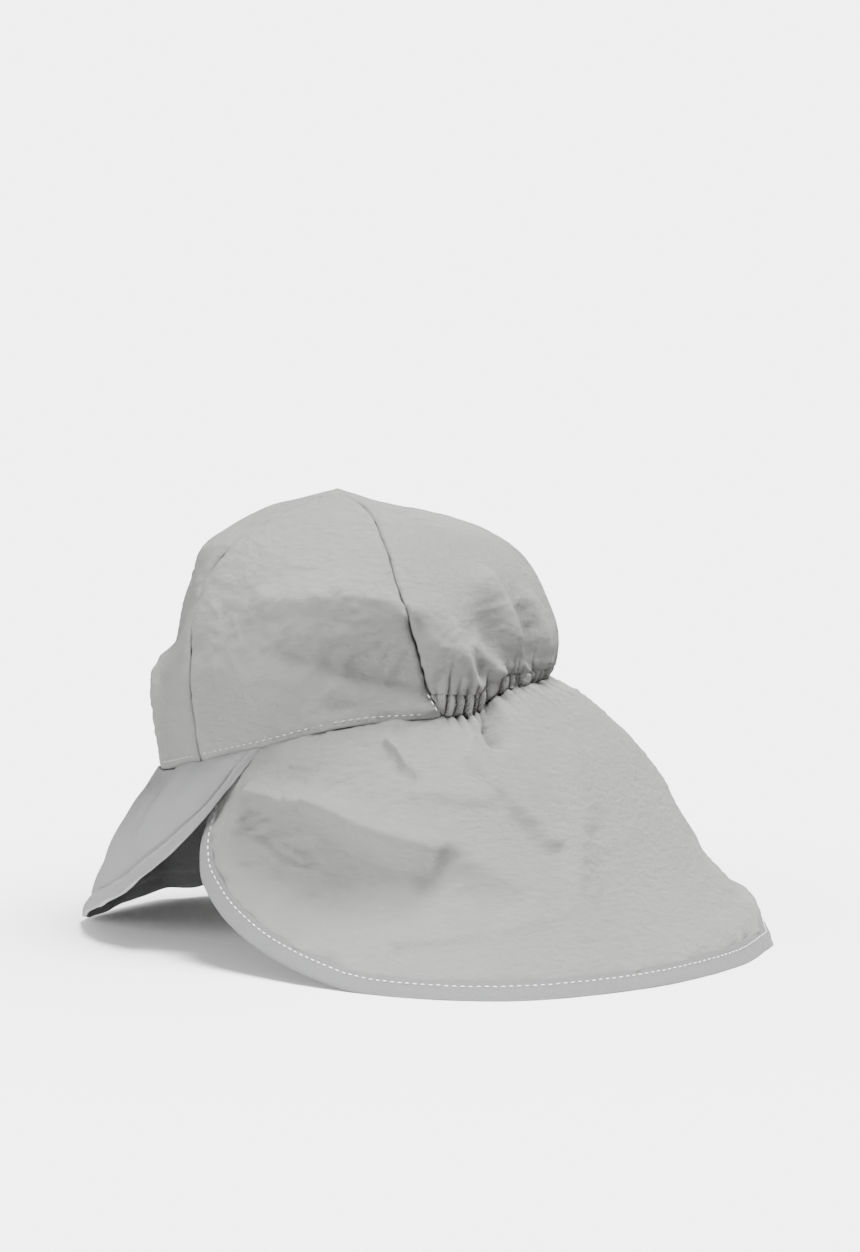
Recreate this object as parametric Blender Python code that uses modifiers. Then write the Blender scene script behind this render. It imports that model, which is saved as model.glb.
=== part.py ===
"""Child's legionnaire sun cap: six crown panels, a short peak, a gathered back band and a bound neck flap.

The cap stands on its peak and on the hem of its flap. -Y is the front, +X the wearer's left and +Z is up.
Every cloth surface is a grid moved onto a function of two shares and given its thickness by Solidify.
"""

from collections import namedtuple

import bmesh
import bpy
import numpy as np
from mathutils import Vector

# Driving sizes in metres
OPENING_LENGTH = 0.170
OPENING_WIDTH = 0.140
SEAM_HEIGHT = 0.095
CROWN_HEIGHT = 0.189
APEX_LEAN = 0.007
PEAK_REACH = 0.120
PEAK_SPREAD = 0.147
PEAK_SWELL = 0.045
FLAP_REACH = 0.180
FLAP_SPREAD = 0.272
BAND_HEIGHT = 0.0072
BINDING_WIDTH = 0.0085
CLOTH = 0.0012
PEAK_CLOTH = 0.0022
BINDING_CLOTH = 0.0024
SEAM_GAP = 0.0004
HEM_PRESS = 0.0010
APEX_HOLE = 0.0012

# Where the peak ends on the crown seam, in degrees from the centre front
PEAK_END = 74.0

# Share of the way from the seam to the rim at which the peak starts, clear of the crown
PEAK_START = 0.02

# The two side seams of the crown, in degrees from the centre front, from the seam line to the apex
SeamTurn = namedtuple("SeamTurn", "along front back")
CROWN_SEAMS = (
    SeamTurn(0.0, 52.0, 127.0),
    SeamTurn(0.1, 51.0, 122.5),
    SeamTurn(0.2, 50.0, 119.0),
    SeamTurn(0.3, 47.0, 116.5),
    SeamTurn(0.4, 43.0, 115.0),
    SeamTurn(0.5, 42.5, 115.0),
    SeamTurn(0.6, 47.0, 116.0),
    SeamTurn(0.7, 52.0, 119.0),
    SeamTurn(0.8, 54.5, 123.0),
    SeamTurn(1.0, 52.0, 127.0),
)
BACK_SEAM = CROWN_SEAMS[0].back

# How far the crown stands out from its axis and up from its seam, for the front, side and back.
# Each out is a share of half the opening there, each up a share of the height from seam to apex.
CrownRing = namedtuple("CrownRing", "along front_out front_up side_out side_up back_out back_up")
CROWN_RINGS = (
    CrownRing(0.00, 0.980, 0.000, 1.000, 0.000, 0.950, 0.000),
    CrownRing(0.10, 1.000, 0.145, 1.035, 0.160, 0.985, 0.110),
    CrownRing(0.20, 1.005, 0.280, 1.040, 0.320, 0.995, 0.280),
    CrownRing(0.30, 0.930, 0.405, 1.010, 0.465, 0.968, 0.450),
    CrownRing(0.40, 0.865, 0.535, 0.940, 0.605, 0.900, 0.615),
    CrownRing(0.50, 0.805, 0.665, 0.820, 0.720, 0.780, 0.735),
    CrownRing(0.60, 0.730, 0.790, 0.665, 0.810, 0.630, 0.815),
    CrownRing(0.70, 0.565, 0.870, 0.495, 0.875, 0.455, 0.870),
    CrownRing(0.80, 0.385, 0.930, 0.325, 0.920, 0.290, 0.905),
    CrownRing(0.90, 0.195, 0.965, 0.160, 0.955, 0.130, 0.945),
    CrownRing(1.00, 0.000, 1.000, 0.000, 1.000, 0.000, 1.000),
)

# Height of the crown seam round the opening, as a share of SEAM_HEIGHT
SeamPoint = namedtuple("SeamPoint", "turn height")
SEAM_LINE = (
    SeamPoint(0.0, 0.730),
    SeamPoint(25.0, 0.742),
    SeamPoint(52.0, 0.816),
    SeamPoint(73.0, 0.893),
    SeamPoint(95.0, 0.985),
    SeamPoint(126.0, 1.030),
    SeamPoint(139.0, 1.042),
    SeamPoint(146.0, 1.106),
    SeamPoint(160.0, 1.130),
    SeamPoint(180.0, 1.140),
)

# Soft dents (negative) and bulges of the crown: height is a share of OPENING_WIDTH
Dent = namedtuple("Dent", "turn along turn_size along_size height")
CROWN_DENTS = (
    Dent(106.0, 0.12, 18.0, 0.120, -0.060),
    Dent(66.0, 0.12, 13.0, 0.120, 0.012),
    Dent(22.0, 0.36, 12.0, 0.050, -0.026),
    Dent(12.0, 0.20, 10.0, 0.090, 0.010),
    Dent(-24.0, 0.24, 16.0, 0.090, 0.010),
    Dent(-70.0, 0.36, 22.0, 0.110, -0.022),
    Dent(-100.0, 0.18, 18.0, 0.080, 0.012),
    Dent(-108.0, 0.44, 20.0, 0.070, -0.016),
    Dent(150.0, 0.46, 16.0, 0.060, -0.010),
    Dent(141.0, 0.17, 7.5, 0.120, -0.038),
    Dent(159.0, 0.16, 5.5, 0.120, -0.034),
    Dent(-152.0, 0.40, 14.0, 0.070, -0.012),
)

# Creases of the crown, each along a straight run, in the same units: size is a share of the
# distance from seam to apex
Crease = namedtuple("Crease", "turn_from along_from turn_to along_to size height")
CROWN_CREASES = (
    Crease(78.0, 0.375, 102.0, 0.39, 0.055, 0.024),
    Crease(102.0, 0.39, 117.0, 0.32, 0.050, 0.024),
    Crease(84.0, 0.22, 122.0, 0.09, 0.035, -0.018),
    Crease(96.0, 0.10, 122.0, 0.04, 0.035, 0.012),
    Crease(19.0, 0.29, 33.0, 0.06, 0.035, 0.018),
    Crease(147.0, 0.38, 152.0, 0.22, 0.042, 0.024),
    Crease(152.0, 0.22, 159.0, 0.08, 0.035, 0.024),
    Crease(138.0, 0.19, 147.0, 0.09, 0.030, 0.014),
    Crease(126.0, 0.32, 130.0, 0.21, 0.036, 0.020),
    Crease(130.0, 0.21, 139.0, 0.09, 0.034, 0.020),
    Crease(165.0, 0.30, 169.0, 0.10, 0.036, 0.018),
    Crease(-84.0, 0.42, -112.0, 0.36, 0.050, 0.014),
    Crease(-80.0, 0.14, -118.0, 0.20, 0.040, -0.012),
    Crease(-140.0, 0.36, -150.0, 0.12, 0.035, 0.016),
    Crease(-128.0, 0.30, -136.0, 0.12, 0.030, -0.010),
    Crease(-24.0, 0.34, -30.0, 0.08, 0.040, 0.012),
)

# Free edge of the peak: out and reach are shares of half PEAK_SPREAD and of PEAK_REACH, and lift
# is a share of SEAM_HEIGHT, from the far right end through the tip to the near left end
RimPoint = namedtuple("RimPoint", "around out reach lift")
PEAK_RIM = (
    RimPoint(-1.00, -0.915, 0.195, 0.895),
    RimPoint(-0.86, -0.985, 0.375, 0.570),
    RimPoint(-0.72, -0.975, 0.540, 0.320),
    RimPoint(-0.56, -0.880, 0.690, 0.085),
    RimPoint(-0.38, -0.660, 0.845, 0.055),
    RimPoint(-0.20, -0.360, 0.950, 0.035),
    RimPoint(0.00, 0.040, 1.000, 0.013),
    RimPoint(0.20, 0.370, 0.925, 0.085),
    RimPoint(0.38, 0.640, 0.830, 0.155),
    RimPoint(0.56, 0.840, 0.690, 0.255),
    RimPoint(0.72, 0.960, 0.545, 0.395),
    RimPoint(0.86, 0.985, 0.385, 0.600),
    RimPoint(1.00, 0.915, 0.190, 0.900),
)

# Free edge of the flap on one side: out and back are shares of half FLAP_SPREAD and of FLAP_REACH,
# lift is a share of SEAM_HEIGHT, and turn is the place on the seam that this point hangs from
HemPoint = namedtuple("HemPoint", "around turn out back lift")
FLAP_HEM = (
    HemPoint(0.00, 66.0, 0.428, -0.220, 0.775),
    HemPoint(0.06, 73.0, 0.458, -0.252, 0.615),
    HemPoint(0.12, 79.0, 0.520, -0.262, 0.480),
    HemPoint(0.18, 84.0, 0.590, -0.247, 0.370),
    HemPoint(0.24, 89.0, 0.650, -0.212, 0.290),
    HemPoint(0.31, 94.0, 0.712, -0.160, 0.210),
    HemPoint(0.39, 100.0, 0.790, -0.070, 0.120),
    HemPoint(0.47, 107.0, 0.880, 0.045, 0.055),
    HemPoint(0.55, 114.0, 0.955, 0.180, 0.006),
    HemPoint(0.63, 122.0, 0.995, 0.325, 0.000),
    HemPoint(0.72, 133.0, 0.970, 0.520, 0.000),
    HemPoint(0.80, 144.0, 0.840, 0.680, 0.000),
    HemPoint(0.88, 157.0, 0.600, 0.845, 0.000),
    HemPoint(0.94, 168.0, 0.320, 0.950, 0.000),
    HemPoint(1.00, 180.0, 0.000, 0.995, 0.000),
)

# Billow of the flap between seam and hem, as a share of the distance between them
Billow = namedtuple("Billow", "down front side back")
FLAP_BILLOW = (
    Billow(0.00, 0.000, 0.000, 0.000),
    Billow(0.10, 0.010, 0.035, 0.052),
    Billow(0.25, 0.020, 0.055, 0.078),
    Billow(0.40, 0.022, 0.045, 0.076),
    Billow(0.55, 0.018, 0.005, 0.046),
    Billow(0.70, 0.012, -0.018, 0.016),
    Billow(0.85, 0.006, -0.014, 0.014),
    Billow(1.00, 0.000, 0.000, 0.000),
)

# Long soft folds of the flap, each along a straight run of shares: size and height are shares
# of FLAP_REACH
Fold = namedtuple("Fold", "side around_from down_from around_to down_to size height")
FLAP_FOLDS = (
    Fold(1, 0.19, 0.43, 0.37, 0.39, 0.060, 0.034),
    Fold(1, 0.37, 0.39, 0.64, 0.52, 0.050, 0.042),
    Fold(1, 0.40, 0.58, 0.62, 0.66, 0.060, -0.026),
    Fold(1, 0.64, 0.57, 0.69, 0.72, 0.042, -0.026),
    Fold(1, 0.79, 0.04, 0.77, 0.18, 0.020, -0.012),
    Fold(1, 0.86, 0.30, 0.80, 0.80, 0.050, 0.014),
    Fold(-1, 0.18, 0.42, 0.40, 0.44, 0.050, 0.028),
    Fold(-1, 0.40, 0.44, 0.60, 0.50, 0.050, 0.032),
    Fold(-1, 0.34, 0.66, 0.64, 0.72, 0.050, -0.026),
    Fold(-1, 0.78, 0.25, 0.74, 0.80, 0.045, 0.016),
)

# Length of half the flap's free edge, and of the flap from seam to hem, in FLAP_REACH
EDGE_PER_REACH = 2.0
DROP_PER_REACH = 0.7

# Degrees round the crown that are as long as the way from seam to apex
TURN_PER_ALONG = 114.0

# Gathers of the elastic at the back
BACK_GATHERS = 7.5
GATHER_DEPTH = 0.0018
GATHER_REACH = 0.36
GATHER_EASE = 8.0
PUFF_DEPTH = 0.0028
BAND_RUFFLE = 0.0012
BAND_INSET = 0.0008
BAND_SHARE = BAND_HEIGHT / (CROWN_HEIGHT - SEAM_HEIGHT)

# Grid densities
PANEL_COLUMNS = 9
PANEL_ROWS = 13
BACK_COLUMNS = 24
BAND_COLUMNS = 56
BAND_ROWS = 2
PEAK_COLUMNS = 36
PEAK_ROWS = 4
FLAP_COLUMNS = 74
FLAP_ROWS = 13
BINDING_SIDES = 6

Finish = namedtuple("Finish", "name colour roughness")
NYLON = Finish("crinkled nylon", (0.47, 0.47, 0.44, 1.0), 0.78)
PEAK_NYLON = Finish("peak nylon", (0.43, 0.44, 0.43, 1.0), 0.72)
BINDING_TAPE = Finish("binding tape", (0.50, 0.50, 0.48, 1.0), 0.70)


def curve_through(rows, key, value, at):
    """Smooth curve through a table's points, read at an array of keys, with no overshoot."""
    xs = np.array([getattr(row, key) for row in rows])
    ys = np.array([getattr(row, value) for row in rows])
    step = np.diff(xs)
    slope = np.diff(ys) / step
    tangent = np.empty(len(xs))
    tangent[0], tangent[-1] = slope[0], slope[-1]
    tangent[1:-1] = (slope[:-1] * step[1:] + slope[1:] * step[:-1]) / (step[1:] + step[:-1])
    at = np.clip(at, xs[0], xs[-1])
    i = np.clip(np.searchsorted(xs, at, side="right") - 1, 0, len(step) - 1)
    h = step[i]
    t = (at - xs[i]) / h
    start = (2 * t**3 - 3 * t**2 + 1) * ys[i] + (t**3 - 2 * t**2 + t) * h * tangent[i]
    end = (3 * t**2 - 2 * t**3) * ys[i + 1] + (t**3 - t**2) * h * tangent[i + 1]
    return start + end


def seam_height(turn):
    folded = np.abs((turn + 180.0) % 360.0 - 180.0)
    return SEAM_HEIGHT * curve_through(SEAM_LINE, "turn", "height", folded)


def side_weights(turn):
    """Shares of front, side and back in the crown's form at this turn."""
    angle = np.radians(turn)
    lengthwise = np.cos(angle)
    side = np.sin(angle) ** 2
    front = np.where(lengthwise > 0, lengthwise**2, 0.0)
    return front, side, 1.0 - side - front


def crown_point(turn, along):
    """Outer crown surface at degrees from the front and a share of the way from seam to apex."""
    out = 0.0
    up = 0.0
    for weight, part in zip(side_weights(turn), ("front", "side", "back")):
        out = out + weight * curve_through(CROWN_RINGS, "along", part + "_out", along)
        up = up + weight * curve_through(CROWN_RINGS, "along", part + "_up", along)
    angle = np.radians(turn)
    base = seam_height(turn)
    x = OPENING_WIDTH / 2 * out * np.sin(angle)
    y = -OPENING_LENGTH / 2 * out * np.cos(angle) - APEX_LEAN * along**1.5
    z = base + up * (CROWN_HEIGHT - base)
    relief = OPENING_WIDTH * dents(turn, along) + gathers(turn, along)
    steep = np.clip(1.25 - along, 0.0, 1.0)
    x = x + relief * np.sin(angle) * steep
    y = y - relief * np.cos(angle) * steep
    z = z + relief * (1.0 - steep)
    return np.stack([x, y, z], axis=-1)


def sum_of_chains(runs):
    """Sum of (start, end, height) runs, where a run that starts at the last one's end joins it."""
    total = 0.0
    chain = 0.0
    corner = None
    for start, end, height in runs:
        if start == corner:
            chain = np.where(np.abs(height) > np.abs(chain), height, chain)
        else:
            total = total + chain
            chain = height
        corner = end
    return total + chain


def dents(turn, along):
    total = 0.0
    for dent in CROWN_DENTS:
        apart = (turn - dent.turn + 180.0) % 360.0 - 180.0
        reach = (apart / dent.turn_size) ** 2 + ((along - dent.along) / dent.along_size) ** 2
        total = total + dent.height * np.exp(-reach)
    runs = []
    for crease in CROWN_CREASES:
        apart = (turn - crease.turn_from + 180.0) % 360.0 - 180.0
        away = distance_from_run(
            apart / TURN_PER_ALONG,
            along - crease.along_from,
            (crease.turn_to - crease.turn_from) / TURN_PER_ALONG,
            crease.along_to - crease.along_from,
        )
        lift = crease.height * np.exp(-((away / crease.size) ** 2))
        start = (crease.turn_from, crease.along_from)
        runs.append((start, (crease.turn_to, crease.along_to), lift))
    return total + sum_of_chains(runs)


def distance_from_run(x, y, run_x, run_y):
    """Distance of points from the straight run that goes from the origin to run_x, run_y."""
    share = np.clip((x * run_x + y * run_y) / (run_x**2 + run_y**2), 0.0, 1.0)
    return np.hypot(x - share * run_x, y - share * run_y)


def gathers(turn, along):
    """Ruffles that the elastic draws into the back panels, fading up the crown."""
    folded = np.abs((turn + 180.0) % 360.0 - 180.0)
    inside = np.clip((folded - seam_turn("back", along)) / GATHER_EASE, 0.0, 1.0)
    phase = gather_phase(turn)
    uneven = 1.0 + 0.35 * np.sin(0.37 * phase + 1.0)
    fade = np.clip(1.0 - along / GATHER_REACH, 0.0, 1.0) ** 1.5
    swell = np.exp(-(((along - 0.17) / 0.10) ** 2))
    return inside * (GATHER_DEPTH * fade * uneven * np.cos(phase) + PUFF_DEPTH * swell)


def gather_phase(turn):
    folded = np.abs((turn + 180.0) % 360.0 - 180.0)
    return 2 * np.pi * BACK_GATHERS * (folded - BACK_SEAM) / (180.0 - BACK_SEAM)


def opening_point(turn, inward, drop):
    """Point of the crown seam, moved in from the cloth's outer face and down from the seam."""
    angle = np.radians(turn)
    edge = crown_point(turn, np.zeros_like(turn))
    ways = np.stack([np.sin(angle), -np.cos(angle), np.zeros_like(angle)], axis=-1)
    return edge - inward * ways - np.array([0.0, 0.0, drop])


def seam_turn(name, along):
    """Turn of a panel's edge: the centre seams stand at 0 and 180 degrees."""
    if name in ("front", "back"):
        return curve_through(CROWN_SEAMS, "along", name, along)
    return np.full_like(along, 0.0 if name == "centre_front" else 180.0)


def panel_point(side, first, second, start):
    """Place function of one crown panel, a seam gap short of its neighbours all round."""

    def place(across, along):
        along = start + along * (1.0 - start)
        along = np.minimum(along, 1.0 - APEX_HOLE / (OPENING_WIDTH / 2))
        low = seam_turn(first, along)
        high = seam_turn(second, along)
        edge = crown_point((low + high) / 2, along)
        reach = np.hypot(edge[..., 0], edge[..., 1] + APEX_LEAN * along**1.5)
        margin = np.degrees(SEAM_GAP / 2 / np.maximum(reach, APEX_HOLE))
        margin = np.minimum(margin, 0.35 * (high - low))
        turn = low + margin + across * (high - low - 2 * margin)
        return crown_point(side * turn, along) + np.array([0.0, 0.0, SEAM_GAP / 2])

    return place


def band_point(across, up):
    """Outer surface of the gathered casing over the back elastic."""
    low = seam_turn("back", BAND_SHARE * up) + np.degrees(SEAM_GAP / (OPENING_WIDTH / 2))
    turn = low + across * 2 * (180.0 - low)
    point = crown_point(turn, BAND_SHARE * up)
    phase = gather_phase(turn) + np.pi
    angle = np.radians(turn)
    relief = BAND_RUFFLE * np.cos(phase) * np.sin(np.pi * up) - BAND_INSET
    ways = np.stack([np.sin(angle), -np.cos(angle), np.zeros_like(angle)], axis=-1)
    return point + relief[..., None] * ways


def peak_point(around, out):
    """Upper surface of the peak, from the crown seam (out 0) to its rim (out 1)."""
    turn = around * PEAK_END
    root = opening_point(turn, -CLOTH, 2 * SEAM_GAP)
    rim = np.stack(
        [
            PEAK_SPREAD / 2 * curve_through(PEAK_RIM, "around", "out", around),
            -PEAK_REACH * curve_through(PEAK_RIM, "around", "reach", around),
            SEAM_HEIGHT * curve_through(PEAK_RIM, "around", "lift", around),
        ],
        axis=-1,
    )
    width = np.clip(np.linalg.norm(rim - root, axis=-1), PEAK_CLOTH, None)
    share = out[..., None]
    angle = np.radians(turn)
    ways = np.stack([np.sin(angle), -np.cos(angle), 0.7 * np.ones_like(angle)], axis=-1)
    swell = PEAK_SWELL * width * np.sin(np.pi * out)
    return root * (1 - share) + rim * share + swell[..., None] * ways


def flap_edge(around):
    """Free edge of the flap: around runs from -1 (right front) through 0 (back) to 1 (left front)."""
    side = np.where(around < 0, -1.0, 1.0)
    share = 1.0 - np.abs(around)
    return np.stack(
        [
            side * FLAP_SPREAD / 2 * curve_through(FLAP_HEM, "around", "out", share),
            FLAP_REACH * curve_through(FLAP_HEM, "around", "back", share),
            SEAM_HEIGHT * curve_through(FLAP_HEM, "around", "lift", share),
        ],
        axis=-1,
    )


def flap_root(around):
    side = np.where(around < 0, -1.0, 1.0)
    turn = side * curve_through(FLAP_HEM, "around", "turn", 1.0 - np.abs(around))
    return turn, opening_point(turn, CLOTH, SEAM_GAP + CLOTH)


def flap_point(around, down):
    """Outer surface of the flap at a share from the crown seam (0) to the free edge (1)."""
    turn, root = flap_root(around)
    edge = flap_edge(around)
    share = down[..., None]
    length = np.linalg.norm(edge - root, axis=-1)
    front = np.clip((0.35 - (1.0 - np.abs(around))) / 0.35, 0.0, 1.0)
    back = np.clip(((1.0 - np.abs(around)) - 0.55) / 0.35, 0.0, 1.0)
    side = 1.0 - front - back
    billow = 0.0
    for weight, part in ((front, "front"), (side, "side"), (back, "back")):
        billow = billow + weight * curve_through(FLAP_BILLOW, "down", part, down)
    chord = (edge - root) / length[..., None]
    angle = np.radians(turn)
    level = np.stack([np.sin(angle), -np.cos(angle), 0.8 * np.ones_like(angle)], axis=-1)
    outward = level - (level * chord).sum(axis=-1)[..., None] * chord
    outward = outward / np.linalg.norm(outward, axis=-1)[..., None]
    rise = billow * length + FLAP_REACH * folds(around, down)
    point = root * (1 - share) + edge * share + rise[..., None] * outward
    return np.stack([point[..., 0], point[..., 1], np.maximum(point[..., 2], 0.0)], axis=-1)


def folds(around, down):
    """Height of the flap's long folds as a share of FLAP_REACH."""
    along = 1.0 - np.abs(around)
    side = np.where(around < 0, -1, 1)
    ends = np.clip(down * 6.0, 0.0, 1.0) * np.clip((1.0 - down) * 6.0, 0.0, 1.0)
    runs = []
    for fold in FLAP_FOLDS:
        away = distance_from_run(
            (along - fold.around_from) * EDGE_PER_REACH,
            (down - fold.down_from) * DROP_PER_REACH,
            (fold.around_to - fold.around_from) * EDGE_PER_REACH,
            (fold.down_to - fold.down_from) * DROP_PER_REACH,
        )
        lift = fold.height * np.exp(-((away / fold.size) ** 2))
        start = (fold.side, fold.around_from, fold.down_from)
        end = (fold.side, fold.around_to, fold.down_to)
        runs.append((start, end, np.where(side == fold.side, lift, 0.0)))
    return sum_of_chains(runs) * ends


def share_above_hem(around, distance):
    """Share of the way down the flap that lies this distance short of its free edge."""
    _, root = flap_root(around)
    length = np.linalg.norm(flap_edge(around) - root, axis=-1)
    return 1.0 - np.clip(distance / length, 0.0, 0.9)


def flap_sheet(across, down):
    around = 1.0 - 2.0 * across
    return flap_point(around, down * share_above_hem(around, BINDING_WIDTH + 2 * SEAM_GAP))


def binding_ring(across, ring):
    """Closed section of the folded tape, flat on the floor where it rests."""
    around = 1.0 - 2.0 * across
    start = share_above_hem(around, BINDING_WIDTH)
    angle = 2 * np.pi * ring
    width = np.cos(angle)
    depth = np.sin(angle)
    rounded = np.sign(width) * np.abs(width) ** 0.5
    thick = np.sign(depth) * np.abs(depth) ** 0.7
    down = 0.5 * (1 + start) - 0.5 * (1 - start) * rounded
    middle = flap_point(around, down)
    across_way = flap_point(around, np.minimum(down + 0.02, 1.0)) - flap_point(around, down - 0.02)
    along_way = flap_point(np.clip(around + 0.004, -1, 1), down)
    along_way = along_way - flap_point(np.clip(around - 0.004, -1, 1), down)
    normal = np.cross(along_way, across_way)
    normal = normal / np.linalg.norm(normal, axis=-1)[..., None]
    point = middle + (thick * BINDING_CLOTH / 2)[..., None] * normal
    point[..., 2] -= HEM_PRESS * (1 - rounded) / 2
    return np.stack([point[..., 0], point[..., 1], np.maximum(point[..., 2], 0.0)], axis=-1)


def material(finish):
    found = bpy.data.materials.get(finish.name)
    if found:
        return found
    made = bpy.data.materials.new(finish.name)
    made.use_nodes = True
    shader = made.node_tree.nodes["Principled BSDF"]
    shader.inputs["Base Color"].default_value = finish.colour
    shader.inputs["Roughness"].default_value = finish.roughness
    shader.inputs["Metallic"].default_value = 0.0
    made.diffuse_color = finish.colour
    return made


def grid_object(name, columns, rows, place, finish, collection, wrap=False):
    """A grid of shares moved onto a place function. With wrap it closes into a capped tube."""
    mesh = bpy.data.meshes.new(name)
    grid = bmesh.new()
    bmesh.ops.create_grid(grid, x_segments=int(columns), y_segments=int(rows), size=0.5)
    shares = np.array([vertex.co[:2] for vertex in grid.verts]) + 0.5
    for vertex, point in zip(grid.verts, place(shares[:, 0], shares[:, 1])):
        vertex.co = Vector(point)
    if wrap:
        bmesh.ops.remove_doubles(grid, verts=grid.verts, dist=1e-5)
        bmesh.ops.holes_fill(grid, edges=grid.edges, sides=int(rows))
    bmesh.ops.recalc_face_normals(grid, faces=grid.faces)
    grid.to_mesh(mesh)
    grid.free()
    mesh.shade_smooth()
    mesh.materials.append(material(finish))
    made = bpy.data.objects.new(name, mesh)
    collection.objects.link(made)
    return made


def face_outward(sheet):
    """Turns a sheet's faces away from the middle of the cap, so that Solidify grows inward."""
    mesh = sheet.data
    middle = Vector((0.0, 0.0, SEAM_HEIGHT / 2))
    score = sum((face.center - middle).dot(face.normal) * face.area for face in mesh.polygons)
    if score < 0:
        mesh.flip_normals()


def cloth_sheet(name, columns, rows, place, finish, thickness, collection):
    sheet = grid_object(name, columns, rows, place, finish, collection)
    face_outward(sheet)
    shell = sheet.modifiers.new("Cloth thickness", "SOLIDIFY")
    shell.thickness = thickness
    shell.offset = -1.0
    shell.use_even_offset = False
    return sheet


def build_crown(collection):
    start = BAND_SHARE + SEAM_GAP / (CROWN_HEIGHT - SEAM_HEIGHT)
    spans = (
        ("crown_front", "centre_front", "front", 0.0, PANEL_COLUMNS),
        ("crown_side", "front", "back", 0.0, PANEL_COLUMNS),
        ("crown_back", "back", "centre_back", start, BACK_COLUMNS),
    )
    panels = []
    for name, first, second, low, columns in spans:
        for ending, side in (("_left", 1), ("_right", -1)):
            place = panel_point(side, first, second, low)
            panels.append(
                cloth_sheet(name + ending, columns, PANEL_ROWS, place, NYLON, CLOTH, collection)
            )
    return panels


def build_band(collection):
    return cloth_sheet("back_band", BAND_COLUMNS, BAND_ROWS, band_point, NYLON, CLOTH, collection)


def build_peak(collection):
    def place(across, out):
        return peak_point(2.0 * across - 1.0, PEAK_START + (1.0 - PEAK_START) * out)

    return cloth_sheet("peak", PEAK_COLUMNS, PEAK_ROWS, place, PEAK_NYLON, PEAK_CLOTH, collection)


def build_flap(collection):
    return cloth_sheet("neck_flap", FLAP_COLUMNS, FLAP_ROWS, flap_sheet, NYLON, CLOTH, collection)


def build_binding(collection):
    place = binding_ring
    return grid_object(
        "flap_binding", FLAP_COLUMNS, BINDING_SIDES, place, BINDING_TAPE, collection, wrap=True
    )


def stand_on_origin(parts, collection):
    """Parents the pieces to an empty that puts the middle of the cap's underside at the origin."""
    bpy.context.view_layer.update()
    graph = bpy.context.evaluated_depsgraph_get()
    corners = np.array([list(corner) for part in parts for corner in part.evaluated_get(graph).bound_box])
    low, high = corners.min(axis=0), corners.max(axis=0)
    frame = bpy.data.objects.new("cap_frame", None)
    frame.location = (-(low[0] + high[0]) / 2, -(low[1] + high[1]) / 2, -low[2])
    collection.objects.link(frame)
    for part in parts:
        part.parent = frame


def main():
    for old in list(bpy.data.objects):
        bpy.data.objects.remove(old, do_unlink=True)
    collection = bpy.data.collections.new("Legionnaire cap")
    bpy.context.scene.collection.children.link(collection)
    parts = build_crown(collection)
    parts.append(build_band(collection))
    parts.append(build_peak(collection))
    parts.append(build_flap(collection))
    parts.append(build_binding(collection))
    stand_on_origin(parts, collection)


main()
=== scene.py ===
"""Looks of a child's legionnaire sun cap in crinkled nylon, laid out as an add-on.

Each cloth piece is a fine grid moved onto the same form as its solid in the frame, with the seams,
gathers, creases and crumples of worn nylon added along the surface's own normal.
"""

import math
from collections import namedtuple

import bmesh
import bpy
import numpy as np
from bpy.props import FloatProperty, FloatVectorProperty, IntProperty, PointerProperty
from mathutils import Matrix, Vector, noise


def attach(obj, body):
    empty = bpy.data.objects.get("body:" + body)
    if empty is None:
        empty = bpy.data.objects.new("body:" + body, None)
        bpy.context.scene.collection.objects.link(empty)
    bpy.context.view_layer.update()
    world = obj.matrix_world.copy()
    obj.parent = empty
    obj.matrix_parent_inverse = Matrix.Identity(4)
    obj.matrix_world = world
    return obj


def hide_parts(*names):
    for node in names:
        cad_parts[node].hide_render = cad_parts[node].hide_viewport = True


bl_info = {
    "name": "Legionnaire cap",
    "version": (1, 0, 0),
    "blender": (4, 5, 0),
    "location": "3D View > Sidebar > Cap",
    "description": "Builds the cloth, stitches and stage of a legionnaire sun cap",
    "category": "Object",
}

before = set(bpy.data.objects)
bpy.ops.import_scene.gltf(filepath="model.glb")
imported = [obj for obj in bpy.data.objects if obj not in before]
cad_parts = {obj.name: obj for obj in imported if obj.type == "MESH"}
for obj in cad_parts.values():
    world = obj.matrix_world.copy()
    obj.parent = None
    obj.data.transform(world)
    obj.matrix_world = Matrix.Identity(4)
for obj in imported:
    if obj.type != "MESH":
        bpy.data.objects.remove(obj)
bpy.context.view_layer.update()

# Sizes of the cap's form in metres, as its solids have them
OPENING_LENGTH = 0.170
OPENING_WIDTH = 0.140
SEAM_HEIGHT = 0.095
CROWN_HEIGHT = 0.189
APEX_LEAN = 0.007
PEAK_REACH = 0.120
PEAK_SPREAD = 0.147
PEAK_SWELL = 0.045
FLAP_REACH = 0.180
FLAP_SPREAD = 0.272
BAND_HEIGHT = 0.0072
BINDING_WIDTH = 0.0085
CLOTH = 0.0012
PEAK_CLOTH = 0.0022
BINDING_CLOTH = 0.0024
SEAM_GAP = 0.0004
APEX_HOLE = 0.0006
HEM_PRESS = 0.0010
FLAP_TUCK = 0.0008
SEAM_TUCK = 0.0012
PEAK_TUCK = 0.0004

# The crown's middle lies this far ahead of the frame's origin
CROWN_Y = -0.0296

# Where the peak ends on the crown seam, in degrees from the centre front
PEAK_END = 74.0

# How the crown leans back on the way to its apex, and where its relief turns from level to upright
LEAN_POWER = 1.5
UPRIGHT_FROM = 1.25

# How far the swell of peak and flap points up as well as out, and where the peak leaves its seam
PEAK_SWELL_UP = 0.7
FLAP_SWELL_UP = 0.8
PEAK_START = 0.01

# Shares of the flap's half from its front end: the front form fades out, the back form comes in
FRONT_FADE = 0.35
BACK_FROM = 0.55
BACK_FADE = 0.35

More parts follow.
